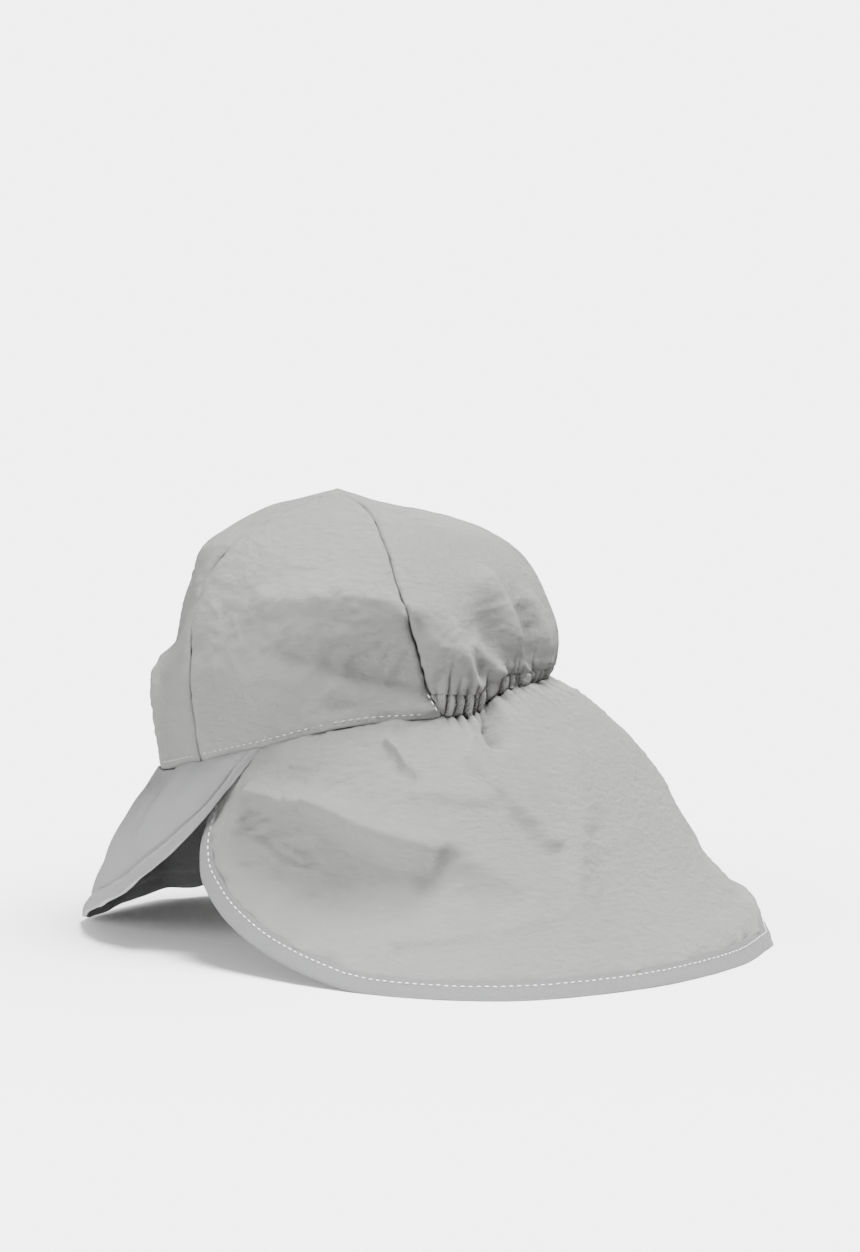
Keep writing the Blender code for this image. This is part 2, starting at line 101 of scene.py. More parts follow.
# How fast the flap's folds come in below the seam and go out above the hem
FOLDS_IN = 12.0
FOLDS_OUT = 6.0

# Gap between two panels of cloth, and the most of a panel's width that it may take near the apex
PANEL_GAP = SEAM_GAP / 40
GAP_SHARE = 0.35


def table(kind, *rows):
    """Rows of numbers under named columns."""
    return tuple(kind(*row) for row in rows)


# The two side seams of the crown, in degrees from the centre front, from the seam line to the apex
SeamTurn = namedtuple("SeamTurn", "along front back")
CROWN_SEAMS = table(
    SeamTurn,
    (0.0, 52.0, 127.0),
    (0.1, 51.0, 122.5),
    (0.2, 50.0, 119.0),
    (0.3, 47.0, 116.5),
    (0.4, 43.0, 115.0),
    (0.5, 42.5, 115.0),
    (0.6, 47.0, 116.0),
    (0.7, 52.0, 119.0),
    (0.8, 54.5, 123.0),
    (1.0, 52.0, 127.0),
)
BACK_SEAM = CROWN_SEAMS[0].back

# How far the crown stands out from its axis and up from its seam, for the front, side and back.
# Each out is a share of half the opening there, each up a share of the height from seam to apex.
CrownRing = namedtuple("CrownRing", "along front_out front_up side_out side_up back_out back_up")
CROWN_RINGS = table(
    CrownRing,
    (0.0, 0.98, 0.0, 1.0, 0.0, 0.95, 0.0),
    (0.1, 1.0, 0.145, 1.035, 0.16, 0.985, 0.11),
    (0.2, 1.005, 0.28, 1.04, 0.32, 0.995, 0.28),
    (0.3, 0.93, 0.405, 1.01, 0.465, 0.968, 0.45),
    (0.4, 0.865, 0.535, 0.94, 0.605, 0.9, 0.615),
    (0.5, 0.805, 0.665, 0.82, 0.72, 0.78, 0.735),
    (0.6, 0.73, 0.79, 0.665, 0.81, 0.63, 0.815),
    (0.7, 0.565, 0.87, 0.495, 0.875, 0.455, 0.87),
    (0.8, 0.385, 0.93, 0.325, 0.92, 0.29, 0.905),
    (0.9, 0.195, 0.965, 0.16, 0.955, 0.13, 0.945),
    (1.0, 0.0, 1.0, 0.0, 1.0, 0.0, 1.0),
)

# Height of the crown seam round the opening, as a share of SEAM_HEIGHT
SeamPoint = namedtuple("SeamPoint", "turn height")
SEAM_LINE = table(
    SeamPoint,
    (0.0, 0.73),
    (25.0, 0.742),
    (52.0, 0.816),
    (73.0, 0.893),
    (95.0, 0.985),
    (126.0, 1.03),
    (139.0, 1.042),
    (146.0, 1.106),
    (160.0, 1.13),
    (180.0, 1.14),
)

# Soft dents (negative) and bulges of the crown: height is a share of OPENING_WIDTH
Dent = namedtuple("Dent", "turn along turn_size along_size height")
CROWN_DENTS = table(
    Dent,
    (106.0, 0.12, 18.0, 0.12, -0.06),
    (66.0, 0.12, 13.0, 0.12, 0.012),
    (22.0, 0.36, 12.0, 0.05, -0.026),
    (12.0, 0.2, 10.0, 0.09, 0.01),
    (-24.0, 0.24, 16.0, 0.09, 0.01),
    (-70.0, 0.36, 22.0, 0.11, -0.022),
    (-100.0, 0.18, 18.0, 0.08, 0.012),
    (-108.0, 0.44, 20.0, 0.07, -0.016),
    (150.0, 0.46, 16.0, 0.06, -0.01),
    (141.0, 0.18, 7.5, 0.125, -0.054),
    (158.0, 0.17, 6.0, 0.125, -0.046),
    (127.0, 0.12, 4.0, 0.045, -0.01),
    (-152.0, 0.4, 14.0, 0.07, -0.012),
)

# Creases and folds run straight from one point to another. Sharp narrows the side that lies to the
# left of the run, and taper is its width at the far end as a share of that at the near end.
Run = namedtuple("Run", "x_from y_from x_to y_to size height sharp taper", defaults=(1.0, 1.0))

# Creases of the crown: x is the turn and y the share of the way from seam to apex. Size is a share
# of that way, height a share of OPENING_WIDTH.
CROWN_CREASES = table(
    Run,
    (78.0, 0.375, 102.0, 0.39, 0.06, 0.024, 1.3),
    (102.0, 0.39, 117.0, 0.32, 0.055, 0.024, 1.3, 0.8),
    (84.0, 0.22, 122.0, 0.09, 0.035, -0.018),
    (96.0, 0.1, 122.0, 0.04, 0.035, 0.012),
    (19.0, 0.29, 33.0, 0.06, 0.03, 0.02),
    (147.0, 0.38, 152.0, 0.22, 0.052, 0.032, 2.2, 0.8),
    (152.0, 0.22, 159.0, 0.08, 0.042, 0.032, 2.2, 0.6),
    (138.0, 0.21, 147.0, 0.09, 0.036, 0.024, 1.5, 0.6),
    (126.0, 0.32, 130.5, 0.21, 0.055, 0.022, 2.0),
    (130.5, 0.21, 139.0, 0.09, 0.055, 0.026, 2.0, 0.5),
    (165.0, 0.3, 169.0, 0.1, 0.04, 0.026, 1.8, 0.6),
    (-84.0, 0.42, -112.0, 0.36, 0.05, 0.014),
    (-80.0, 0.14, -118.0, 0.2, 0.04, -0.012),
    (-140.0, 0.36, -150.0, 0.12, 0.04, 0.008),
    (-128.0, 0.3, -136.0, 0.12, 0.035, -0.005),
    (-24.0, 0.34, -30.0, 0.08, 0.04, 0.012),
)

# Free edge of the peak: out and reach are shares of half PEAK_SPREAD and of PEAK_REACH, and lift
# is a share of SEAM_HEIGHT, from the far right end through the tip to the near left end
RimPoint = namedtuple("RimPoint", "around out reach lift")
PEAK_RIM = table(
    RimPoint,
    (-1.0, -0.915, 0.195, 0.895),
    (-0.86, -0.985, 0.375, 0.57),
    (-0.72, -0.975, 0.54, 0.32),
    (-0.56, -0.88, 0.69, 0.085),
    (-0.38, -0.66, 0.845, 0.055),
    (-0.2, -0.36, 0.95, 0.035),
    (0.0, 0.04, 1.0, 0.013),
    (0.2, 0.37, 0.925, 0.085),
    (0.38, 0.64, 0.83, 0.155),
    (0.56, 0.84, 0.69, 0.255),
    (0.72, 0.96, 0.545, 0.395),
    (0.86, 0.985, 0.385, 0.6),
    (1.0, 0.915, 0.19, 0.9),
)

# Free edge of the flap on one side: out and back are shares of half FLAP_SPREAD and of FLAP_REACH,
# lift is a share of SEAM_HEIGHT, and turn is the place on the seam that this point hangs from
HemPoint = namedtuple("HemPoint", "around turn out back lift")
FLAP_HEM = table(
    HemPoint,
    (0.0, 66.0, 0.428, -0.22, 0.775),
    (0.06, 73.0, 0.458, -0.252, 0.615),
    (0.12, 79.0, 0.52, -0.262, 0.48),
    (0.18, 84.0, 0.59, -0.247, 0.37),
    (0.24, 89.0, 0.65, -0.212, 0.29),
    (0.31, 94.0, 0.712, -0.16, 0.21),
    (0.39, 100.0, 0.79, -0.07, 0.12),
    (0.47, 107.0, 0.88, 0.045, 0.055),
    (0.55, 114.0, 0.955, 0.18, 0.006),
    (0.63, 122.0, 0.995, 0.325, 0.0),
    (0.72, 133.0, 0.97, 0.52, 0.0),
    (0.8, 144.0, 0.84, 0.68, 0.0),
    (0.88, 157.0, 0.6, 0.845, 0.0),
    (0.94, 168.0, 0.32, 0.95, 0.0),
    (1.0, 180.0, 0.0, 0.995, 0.0),
)

# Billow of the flap between seam and hem, as a share of the distance between them
Billow = namedtuple("Billow", "down front side back")
FLAP_BILLOW = table(
    Billow,
    (0.0, 0.0, 0.0, 0.0),
    (0.1, 0.01, 0.035, 0.052),
    (0.25, 0.02, 0.055, 0.078),
    (0.4, 0.022, 0.045, 0.076),
    (0.55, 0.018, 0.005, 0.046),
    (0.7, 0.012, -0.018, 0.016),
    (0.85, 0.006, -0.014, 0.014),
    (1.0, 0.0, 0.0, 0.0),
)

# Long folds of the flap on each side: x is the place round its half from the front end and y the
# share of the way down. Size and height are shares of FLAP_REACH.
LEFT_FOLDS = table(
    Run,
    (0.18, 0.43, 0.37, 0.39, 0.055, 0.038, 2.0),
    (0.37, 0.39, 0.64, 0.52, 0.05, 0.05, 2.0),
    (0.36, 0.6, 0.62, 0.66, 0.085, -0.016),
    (0.65, 0.58, 0.71, 0.74, 0.06, -0.018, 1.2),
    (0.67, 0.5, 0.77, 0.66, 0.04, 0.014, 1.4),
    (0.785, 0.0, 0.77, 0.13, 0.026, -0.06, 1.0, 1.6),
    (0.52, 0.08, 0.6, 0.24, 0.03, 0.014, 1.8),
    (0.7, 0.2, 0.8, 0.52, 0.034, 0.018, 1.8),
    (0.6, 0.3, 0.72, 0.36, 0.034, 0.012, 1.8),
    (0.6, 0.8, 0.78, 0.74, 0.04, 0.014, 1.8),
    (0.86, 0.3, 0.8, 0.8, 0.05, 0.016, 1.4),
    (0.92, 0.91, 1.0, 0.9, 0.034, 0.034),
)
RIGHT_FOLDS = table(
    Run,
    (0.92, 0.91, 1.0, 0.9, 0.034, 0.034),
    (0.18, 0.42, 0.4, 0.44, 0.05, 0.032, 2.0),
    (0.4, 0.44, 0.6, 0.5, 0.05, 0.036, 2.0),
    (0.34, 0.66, 0.64, 0.72, 0.075, -0.014),
    (0.78, 0.25, 0.74, 0.8, 0.045, 0.016, 1.4),
    (0.56, 0.12, 0.62, 0.32, 0.034, 0.014, 1.6),
)

# Degrees over which the flap's root is evened out, and the share of the flap that this takes
EASE_TURNS = (-12.0, -8.0, -4.0, 0.0, 4.0, 8.0, 12.0)
ROOT_EASE = 0.10

# Length of half the flap's free edge, and of the flap from seam to hem, in FLAP_REACH
EDGE_PER_REACH = 2.0
DROP_PER_REACH = 0.7

# Degrees round the crown that are as long as the way from seam to apex, and that way in metres
TURN_PER_ALONG = 114.0
CROWN_ARC = 0.156

# A raised or sunk line: how far from its edge it lies, its width and its height
Line = namedtuple("Line", "place width height")

# The fullness that the elastic leaves above its gathers, and the form of gathers and band
PUFF = Line(0.17, 0.10, 0.0030)
BACK_GATHERS = 17.0
GATHER_DEPTH = 0.0024
GATHER_REACH = 0.14
GATHER_EASE = 5.0
GATHER_FADE = 2.5
GATHER_ROUND = 0.6
GATHER_SINK = 1.3
GATHER_LEAST = 0.75
BAND_RUFFLE = 0.0008
BAND_INSET = 0.0002
BAND_TUCK = 1.35
BAND_ROUND = 0.7
BAND_FULL = 0.6
BAND_SINK = 1.2
BAND_LAG = 0.6
BAND_EASE = 6.0
BAND_DROOP = 0.0007
BAND_SHARE = BAND_HEIGHT / (CROWN_HEIGHT - SEAM_HEIGHT)

# Waves that make the gathers uneven in spacing, height and length
Wave = namedtuple("Wave", "height rate start")
GATHER_SPACING = (Wave(0.030, 9.0, 0.0), Wave(0.018, 23.0, 1.0))
GATHER_HEIGHTS = Wave(0.45, 0.37, 1.0)
GATHER_LENGTHS = Wave(0.35, 0.71, 0.0)

# Turn under of the band's upper edge: where it starts, how steep it is and its depth
EdgeTurn = namedtuple("EdgeTurn", "start steep depth")
BAND_EDGE = EdgeTurn(0.92, 8.0, 0.0012)


def colour_setting(name, description, default):
    return FloatVectorProperty(
        name=name,
        description=description,
        subtype="COLOR",
        size=3,
        default=default,
        min=0.0,
        max=1.0,
    )


def number_setting(name, description, default, **limits):
    return FloatProperty(name=name, description=description, default=default, **limits)


def length_setting(name, description, default, least=0.0):
    return number_setting(name, description, default, min=least, unit="LENGTH")


def angle_setting(name, description, degrees):
    return number_setting(name, description, math.radians(degrees), subtype="ANGLE")


class CapCloth(bpy.types.PropertyGroup):
    """Colours and surface of the cap's cloth."""

    nylon: colour_setting("Nylon", "Colour of crown and flap", (0.335, 0.335, 0.323))
    peak: colour_setting("Peak", "Colour of the peak", (0.320, 0.323, 0.327))
    binding: colour_setting("Binding", "Colour of the flap's binding", (0.300, 0.303, 0.305))
    roughness: number_setting("Roughness", "Roughness of the nylon", 0.72, min=0.0, max=1.0)
    crinkle: length_setting("Crinkle", "Depth of the finest crinkles", 0.0072)
    thread: length_setting("Thread", "Spacing of the weave's threads", 0.0005, 0.0001)


class CapCrumple(bpy.types.PropertyGroup):
    """Depth and size of the crumples that are modelled in the meshes."""

    depth: length_setting("Depth", "Height of the larger crumples", 0.0011)
    scale: length_setting("Size", "Distance between larger crumples", 0.022, 0.001)
    seed: IntProperty(name="Seed", description="Which crumples the cloth has", default=7)


class CapStitch(bpy.types.PropertyGroup):
    """Topstitching."""

    length: length_setting("Stitch", "Length of a stitch", 0.0021)
    spacing: length_setting("Spacing", "Distance from stitch to stitch", 0.0031, 0.001)
    thread: length_setting("Thickness", "Thickness of the sewing thread", 0.00055)
    muted: colour_setting("Muted thread", "Colour of crown and peak thread", (0.38, 0.38, 0.37))
    colour: colour_setting("Thread colour", "Colour of the hem's thread", (0.78, 0.78, 0.76))


class CapStage(bpy.types.PropertyGroup):
    """Floor, lights and camera."""

    floor: colour_setting("Floor", "Colour of the floor", (0.90, 0.90, 0.90))
    key: number_setting("Key light", "Power of the key light", 78.0)
    fill: number_setting("Fill light", "Power of the fill light", 28.0)
    bounce: number_setting("Bounce", "Power of the low light under the peak", 2.2)
    sky: number_setting("Surround", "Strength of the even light", 0.56)
    backdrop: number_setting("Backdrop", "Brightness of the backdrop", 5.4)
    azimuth: angle_setting("Azimuth", "Direction of the view", 102.0)
    elevation: angle_setting("Elevation", "Height of the view", 4.5)
    distance: length_setting("Distance", "Distance of the camera", 1.2)


class CapSettings(bpy.types.PropertyGroup):
    """All settings of the cap."""

    cloth: PointerProperty(type=CapCloth)
    crumple: PointerProperty(type=CapCrumple)
    stitch: PointerProperty(type=CapStitch)
    stage: PointerProperty(type=CapStage)


def settings():
    return bpy.context.scene.legionnaire_cap


# Form of the cap


def curve_through(rows, key, value, at):
    """Smooth curve through a table's points, read at an array of keys."""
    xs = np.array([getattr(row, key) for row in rows])
    ys = np.array([getattr(row, value) for row in rows])
    step = np.diff(xs)
    slope = np.diff(ys) / step
    tangent = np.empty(len(xs))
    tangent[0], tangent[-1] = slope[0], slope[-1]
    tangent[1:-1] = (slope[:-1] * step[1:] + slope[1:] * step[:-1]) / (step[1:] + step[:-1])
    at = np.clip(at, xs[0], xs[-1])
    i = np.clip(np.searchsorted(xs, at, side="right") - 1, 0, len(step) - 1)
    h = step[i]
    t = (at - xs[i]) / h
    start = (2 * t**3 - 3 * t**2 + 1) * ys[i] + (t**3 - 2 * t**2 + t) * h * tangent[i]
    end = (3 * t**2 - 2 * t**3) * ys[i + 1] + (t**3 - t**2) * h * tangent[i + 1]
    return start + end


def unit(share):
    return np.clip(share, 0.0, 1.0)


def size_of(ways):
    return np.linalg.norm(ways, axis=-1)


def hump(distance, width):
    """A smooth hump of height 1 that falls off over a width."""
    return np.exp(-((distance / width) ** 2))


def line(distance, shape):
    return shape.height * hump(distance - shape.place, shape.width)


def folded_turn(turn):
    """Degrees from the centre front, the same on both sides."""
    return np.abs(apart_from(turn, 0.0))


def seam_height(turn):
    return SEAM_HEIGHT * curve_through(SEAM_LINE, "turn", "height", folded_turn(turn))


def level_way(turn):
    angle = np.radians(turn)
    return np.stack([np.sin(angle), -np.cos(angle), np.zeros_like(angle)], axis=-1)


def lean(along):
    """How far back the crown's axis lies at a share of the way to the apex."""
    return APEX_LEAN * along**LEAN_POWER


def crown_point(turn, along, drawn=1.0):
    """Outer crown surface at degrees from the front and a share of the way from seam to apex.

    Drawn is how far the elastic at the back is drawn in, from 0 to 1.
    """
    angle = np.radians(turn)
    side = np.sin(angle) ** 2
    front = np.where(np.cos(angle) > 0, np.cos(angle) ** 2, 0.0)
    out = 0.0
    up = 0.0
    for weight, part in ((front, "front"), (side, "side"), (1.0 - side - front, "back")):
        out = out + weight * curve_through(CROWN_RINGS, "along", part + "_out", along)
        up = up + weight * curve_through(CROWN_RINGS, "along", part + "_up", along)
    base = seam_height(turn)
    relief = OPENING_WIDTH * dents(turn, along) + drawn * gathers(turn, along)
    steep = unit(UPRIGHT_FROM - along)
    x = (OPENING_WIDTH / 2 * out + relief * steep) * np.sin(angle)
    y = -(OPENING_LENGTH / 2 * out + relief * steep) * np.cos(angle) - lean(along)
    z = base + up * (CROWN_HEIGHT - base) + relief * (1.0 - steep)
    return np.stack([x, y + CROWN_Y, z], axis=-1)


def run_height(x, y, run_x, run_y, size, sharp, taper):
    """Height of a fold along the run from the origin, 1 on the run and falling off beside it."""
    share = unit((x * run_x + y * run_y) / (run_x**2 + run_y**2))
    away = np.hypot(x - share * run_x, y - share * run_y)
    size = size * (1.0 - share + share * taper)
    beside = (run_x * y - run_y * x) / np.hypot(run_x, run_y)
    left = 0.5 + 0.5 * np.tanh(beside / size * 2.0)
    return np.exp(-((away * (1.0 + (sharp - 1.0) * left) / size) ** 2))


def sum_of_runs(runs, x, y, apart, x_scale, y_scale):
    """Height of creases or folds. A run that starts at the last one's end joins it."""
    total = 0.0
    chain = 0.0
    corner = None
    for run in runs:
        place = (apart(x, run.x_from) * x_scale, (y - run.y_from) * y_scale)
        way = ((run.x_to - run.x_from) * x_scale, (run.y_to - run.y_from) * y_scale)
        height = run.height * run_height(*place, *way, run.size, run.sharp, run.taper)
        if (run.x_from, run.y_from) == corner:
            chain = np.where(np.abs(height) > np.abs(chain), height, chain)
        else:
            total = total + chain
            chain = height
        corner = (run.x_to, run.y_to)
    return total + chain


def apart_from(turn, other):
    """Degrees from another turn, the short way round."""
    return (turn - other + 180.0) % 360.0 - 180.0


def dents(turn, along):
    total = 0.0
    for dent in CROWN_DENTS:
        apart = apart_from(turn, dent.turn)
        dented = hump(apart, dent.turn_size) * hump(along - dent.along, dent.along_size)
        total = total + dent.height * dented
    creased = sum_of_runs(CROWN_CREASES, turn, along, apart_from, 1 / TURN_PER_ALONG, 1.0)
    return total + creased


def seam_turn(name, along):
    """Turn of a panel's edge: the centre seams stand at 0 and 180 degrees."""
    if name in ("front", "back"):
        return curve_through(CROWN_SEAMS, "along", name, along)
    return np.full_like(along, 0.0 if name == "centre_front" else 180.0)


def wobble(at, wave):
    return wave.height * np.sin(wave.rate * at + wave.start)


def drawn_in(turn):
    """1 where the elastic gathers the back panels, easing to 0 at their seams."""
    return unit((folded_turn(turn) - BACK_SEAM) / GATHER_EASE)


def gather_phase(turn):
    """Phase of the gathers, unevenly spaced round the back."""
    share = (folded_turn(turn) - BACK_SEAM) / (180.0 - BACK_SEAM)
    uneven = sum(wobble(share, wave) for wave in GATHER_SPACING)
    return 2 * np.pi * BACK_GATHERS * (share + uneven * np.sin(np.pi * unit(share)))


def gathers(turn, along):
    """Ruffles that the elastic draws into the back panels, fading up the crown."""
    inside = unit((folded_turn(turn) - seam_turn("back", along)) / GATHER_EASE)
    phase = gather_phase(turn)
    uneven = 1.0 + wobble(phase, GATHER_HEIGHTS)
    reach = GATHER_REACH * (GATHER_LEAST + wobble(phase, GATHER_LENGTHS))
    fade = unit(1.0 - (along - BAND_SHARE) / reach) ** GATHER_FADE
    rounded = 2.0 * np.abs(np.cos(phase / 2)) ** GATHER_ROUND - GATHER_SINK
    return inside * (GATHER_DEPTH * fade * uneven * rounded + line(along, PUFF))


def opening_point(turn, inward, drop, drawn=1.0):
    """Point of the crown seam, moved in from the cloth's outer face and down from the seam."""
    edge = crown_point(turn, np.zeros_like(turn), drawn)
    return edge - inward * level_way(turn) - np.array([0.0, 0.0, drop])


def panel_place(side, first, second, start):
    """Place function of one crown panel over shares across and along it."""

    def place(across, along):
        turn, along, _ = panel_turn(across, along, first, second, start)
        return crown_point(side * turn, along) + np.array([0.0, 0.0, SEAM_GAP / 2])

    return place


def panel_turn(across, along, first, second, start):
    """Turn, share of the way up and width in metres of a crown panel."""
    along = start + along * (1.0 - start)
    along = np.minimum(along, 1.0 - APEX_HOLE / (OPENING_WIDTH / 2))
    low = seam_turn(first, along)
    high = seam_turn(second, along)
    edge = crown_point((low + high) / 2, along)
    reach = np.hypot(edge[..., 0], edge[..., 1] - CROWN_Y + lean(along))
    reach = np.maximum(reach, APEX_HOLE)
    margin = np.degrees(PANEL_GAP / reach)
    margin = np.minimum(margin, GAP_SHARE * (high - low))
    turn = low + margin + across * (high - low - 2 * margin)
    return turn, along, np.radians(high - low) * reach


def band_place(across, up):
    """Outer surface of the gathered casing over the back elastic."""
    up = up * BAND_TUCK
    low = seam_turn("back", BAND_SHARE * up) + np.degrees(SEAM_GAP / 4 / (OPENING_WIDTH / 2))
    turn = low + across * 2 * (180.0 - low)
    phase = gather_phase(turn) / 2
    ruffle = np.abs(np.cos(phase)) * 2.0 - BAND_SINK
    swell = np.sin(np.pi * unit(up)) ** BAND_ROUND
    inside = drawn_in(turn)
    relief = BAND_RUFFLE * swell * (BAND_FULL + inside * ruffle) - BAND_INSET
    relief = relief * unit((1.0 - up) * BAND_EASE)
    tucked = unit((up - BAND_EDGE.start) * BAND_EDGE.steep)
    relief = relief - 2 * SEAM_GAP - BAND_EDGE.depth * tucked
    point = crown_point(turn, BAND_SHARE * up)
    point = point + relief[..., None] * level_way(turn)
    point[..., 2] += BAND_DROOP * inside * np.cos(phase + BAND_LAG) * (1.0 - up)
    return point


def peak_place(across, out):
    """Upper surface of the peak, from the crown seam (out 0) to its rim (out 1)."""
    around = 2.0 * across - 1.0
    turn = around * PEAK_END
    root = peak_root(around)
    rim = peak_rim(around)
    width = np.clip(size_of(rim - root), PEAK_CLOTH, None)
    share = (PEAK_START + (1.0 - PEAK_START) * out)[..., None]
    ways = level_way(turn) + np.array([0.0, 0.0, PEAK_SWELL_UP])
    swell = PEAK_SWELL * width * np.sin(np.pi * out)
    return root * (1 - share) + rim * share + swell[..., None] * ways


def peak_root(around):
    return opening_point(around * PEAK_END, -PEAK_TUCK, -SEAM_TUCK / 2)


def peak_rim(around):
    columns = ("out", "reach", "lift")
    out, reach, lift = (curve_through(PEAK_RIM, "around", column, around) for column in columns)
    out = PEAK_SPREAD / 2 * out
    return np.stack([out, CROWN_Y - PEAK_REACH * reach, SEAM_HEIGHT * lift], axis=-1)


def flap_edge(around):
    """Free edge of the flap, from -1 (right front) through 0 (back) to 1 (left front)."""
    out, back, lift = (hem_value(around, column) for column in ("out", "back", "lift"))
    out = side_of(around) * FLAP_SPREAD / 2 * out
    return np.stack([out, CROWN_Y + FLAP_REACH * back, SEAM_HEIGHT * lift], axis=-1)


def side_of(around):
    return np.where(around < 0, -1.0, 1.0)


def hem_value(around, column):
    return curve_through(FLAP_HEM, "around", column, 1.0 - np.abs(around))


def flap_root(around):
    turn = side_of(around) * hem_value(around, "turn")
    return turn, opening_point(turn, FLAP_TUCK, -SEAM_TUCK)


def flap_length(around):
    return size_of(flap_edge(around) - flap_root(around)[1])


def eased_root(turn):
    """The flap's root without its gathers and steps, which the cloth below the seam evens out."""
    eased = opening_point(turn, FLAP_TUCK, -SEAM_TUCK, 0.0)
    heights = [seam_height(turn + apart) for apart in EASE_TURNS]
    eased[..., 2] += np.mean(heights, axis=0) - seam_height(turn)
    return eased


def flap_place(around, down):
    """Outer surface of the flap at a share from the crown seam (0) to the free edge (1)."""
    turn, root = flap_root(around)
    eased = eased_root(turn)
    root = eased + (root - eased) * hump(down, ROOT_EASE)[..., None]
    edge = flap_edge(around)
    share = down[..., None]
    length = size_of(edge - root)
    along = 1.0 - np.abs(around)
    front = unit((FRONT_FADE - along) / FRONT_FADE)
    back = unit((along - BACK_FROM) / BACK_FADE)
    billow = 0.0
    for weight, part in ((front, "front"), (1.0 - front - back, "side"), (back, "back")):
        billow = billow + weight * curve_through(FLAP_BILLOW, "down", part, down)
    chord = (edge - root) / length[..., None]
    level = level_way(turn) + np.array([0.0, 0.0, FLAP_SWELL_UP])
    outward = level - (level * chord).sum(axis=-1)[..., None] * chord
    outward = outward / size_of(outward)[..., None]
    rise = billow * length + FLAP_REACH * folds(around, down)
    return root * (1 - share) + edge * share + rise[..., None] * outward


def folds(around, down):
    """Height of the flap's long folds as a share of FLAP_REACH."""
    along = 1.0 - np.abs(around)
    ends = unit(down * FOLDS_IN) * unit((1.0 - down) * FOLDS_OUT)
    scale = (EDGE_PER_REACH, DROP_PER_REACH)
    left = sum_of_runs(LEFT_FOLDS, along, down, np.subtract, *scale)
    right = sum_of_runs(RIGHT_FOLDS, along, down, np.subtract, *scale)
    return np.where(around < 0, right, left) * ends


# The most of the way up from an edge that a line along it may lie
MOST_INSET = 0.9


def share_above_hem(around, distance):
    """Share of the way down the flap that lies this distance short of its free edge."""
    return 1.0 - np.clip(distance / flap_length(around), 0.0, MOST_INSET)


# Crumples and finished surfaces


def noise_at(points, size, seed):
    """Smooth noise of about one bump per size, from -1 to 1."""
    shifted = points / size + seed * 17.3
    return np.array([noise.noise(Vector(point)) for point in shifted])


# Octaves of the cloth's crumples: the distance between creases and their height as shares of the
# crumple size and depth, and whether the sharp side of a crease points out (1) or in (-1)
Octave = namedtuple("Octave", "size height sharp")
CRUMPLES = table(
    Octave,
    (1.6, 0.8, 1),
    (0.85, 0.5, -1),
    (0.42, 0.44, 1),
    (0.22, 0.32, -1),
)


# How the crumples are bent out of straight, and how far they are calmed from place to place
BEND_SIZE = 0.045
BEND_REACH = 0.012
UPRIGHT_SQUEEZE = (1.0, 1.0, 1.15)
CALM_SIZE = 0.06
CALM_RANGE = (0.35, 1.3)

# Section of a crease: its top, the slope of its sides and how round its ridge is
CREASE_TOP = 0.45
CREASE_SLOPE = 2.2
CREASE_ROUND = 0.002


def crumples(points, seed):
    """Height of the worn cloth's crumples: soft facets that meet in sharp creases."""
    crumple = settings().crumple
    seed = seed + crumple.seed
    bend = np.stack([noise_at(points, BEND_SIZE, seed + k) for k in range(3)], axis=-1)
    warped = (points + BEND_REACH * bend) * np.array(UPRIGHT_SQUEEZE)
    total = 0.0
    for number, octave in enumerate(CRUMPLES):
        wave = noise_at(warped, octave.size * crumple.scale, seed + 3 + number)
        fold = CREASE_TOP - CREASE_SLOPE * np.sqrt(wave**2 + CREASE_ROUND)
        total = total + octave.sharp * octave.height * fold
    calm = np.clip(0.75 + 0.9 * noise_at(points, CALM_SIZE, seed + 8), *CALM_RANGE)
    return calm * crumple.depth * total


# Share of a surface over which its normal is taken
NORMAL_STEP = 0.003


class Surface:
    """A form with its relief: place gives points, relief gives heights along the normal."""

    def __init__(self, place, relief, outward_flip=1.0):
        self.place = place
        self.relief = relief
        self.flip = outward_flip

    def normal(self, u, v):
        step = NORMAL_STEP
        low_u, high_u = unit(u - step), unit(u + step)
        low_v, high_v = unit(v - step), unit(v + step)
        du = self.place(high_u, v) - self.place(low_u, v)
        dv = self.place(u, high_v) - self.place(u, low_v)
        normal = self.flip * np.cross(du, dv)
        return normal / np.maximum(size_of(normal), 1e-12)[..., None]

    def at(self, u, v):
        base = self.place(u, v)
        return base + self.relief(u, v, base)[..., None] * self.normal(u, v)


def share_grid(columns, rows, place, width, height):
    """A fine grid laid out by a place function, with a UV map in metres for the weave."""
    grid = bmesh.new()
    bmesh.ops.create_grid(grid, x_segments=columns, y_segments=rows, size=0.5)
    shares = np.array([vertex.co[:2] for vertex in grid.verts]) + 0.5
    for vertex, point in zip(grid.verts, place(shares[:, 0], shares[:, 1])):
        vertex.co = Vector(point)
    cut = grid.loops.layers.uv.new("cut")
    for face in grid.faces:
        for loop in face.loops:
            share = shares[loop.vert.index]
            loop[cut].uv = (share[0] * width, share[1] * height)
    return grid


def into_scene(data):
    """An object of its data's name, linked to the scene."""
    made = bpy.data.objects.new(data.name, data)
    bpy.context.scene.collection.objects.link(made)
    return made


def smooth_piece(name, grid):
    """Turns a finished grid into one smooth piece."""
    mesh = bpy.data.meshes.new(name)
    grid.to_mesh(mesh)
    grid.free()
    mesh.shade_smooth()
    return into_scene(mesh)


def cloth_mesh(name, surface, columns, rows, width, height):
    grid = share_grid(columns, rows, surface.at, width, height)
    if surface.flip < 0:
        bmesh.ops.reverse_faces(grid, faces=grid.faces)
    return smooth_piece(name, grid)


def thicken(piece, thickness):
    shell = piece.modifiers.new("Cloth thickness", "SOLIDIFY")
    shell.thickness = thickness
    shell.offset = -1.0
    shell.use_even_offset = False


def dress(piece, node, slot):
    """Puts a finished piece on the frame in place of its solid, in its slot's cloth."""
    piece.data.materials.append(cloth_material(slot))
    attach(piece, "root")
    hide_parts(node)


# Surfaces of the pieces

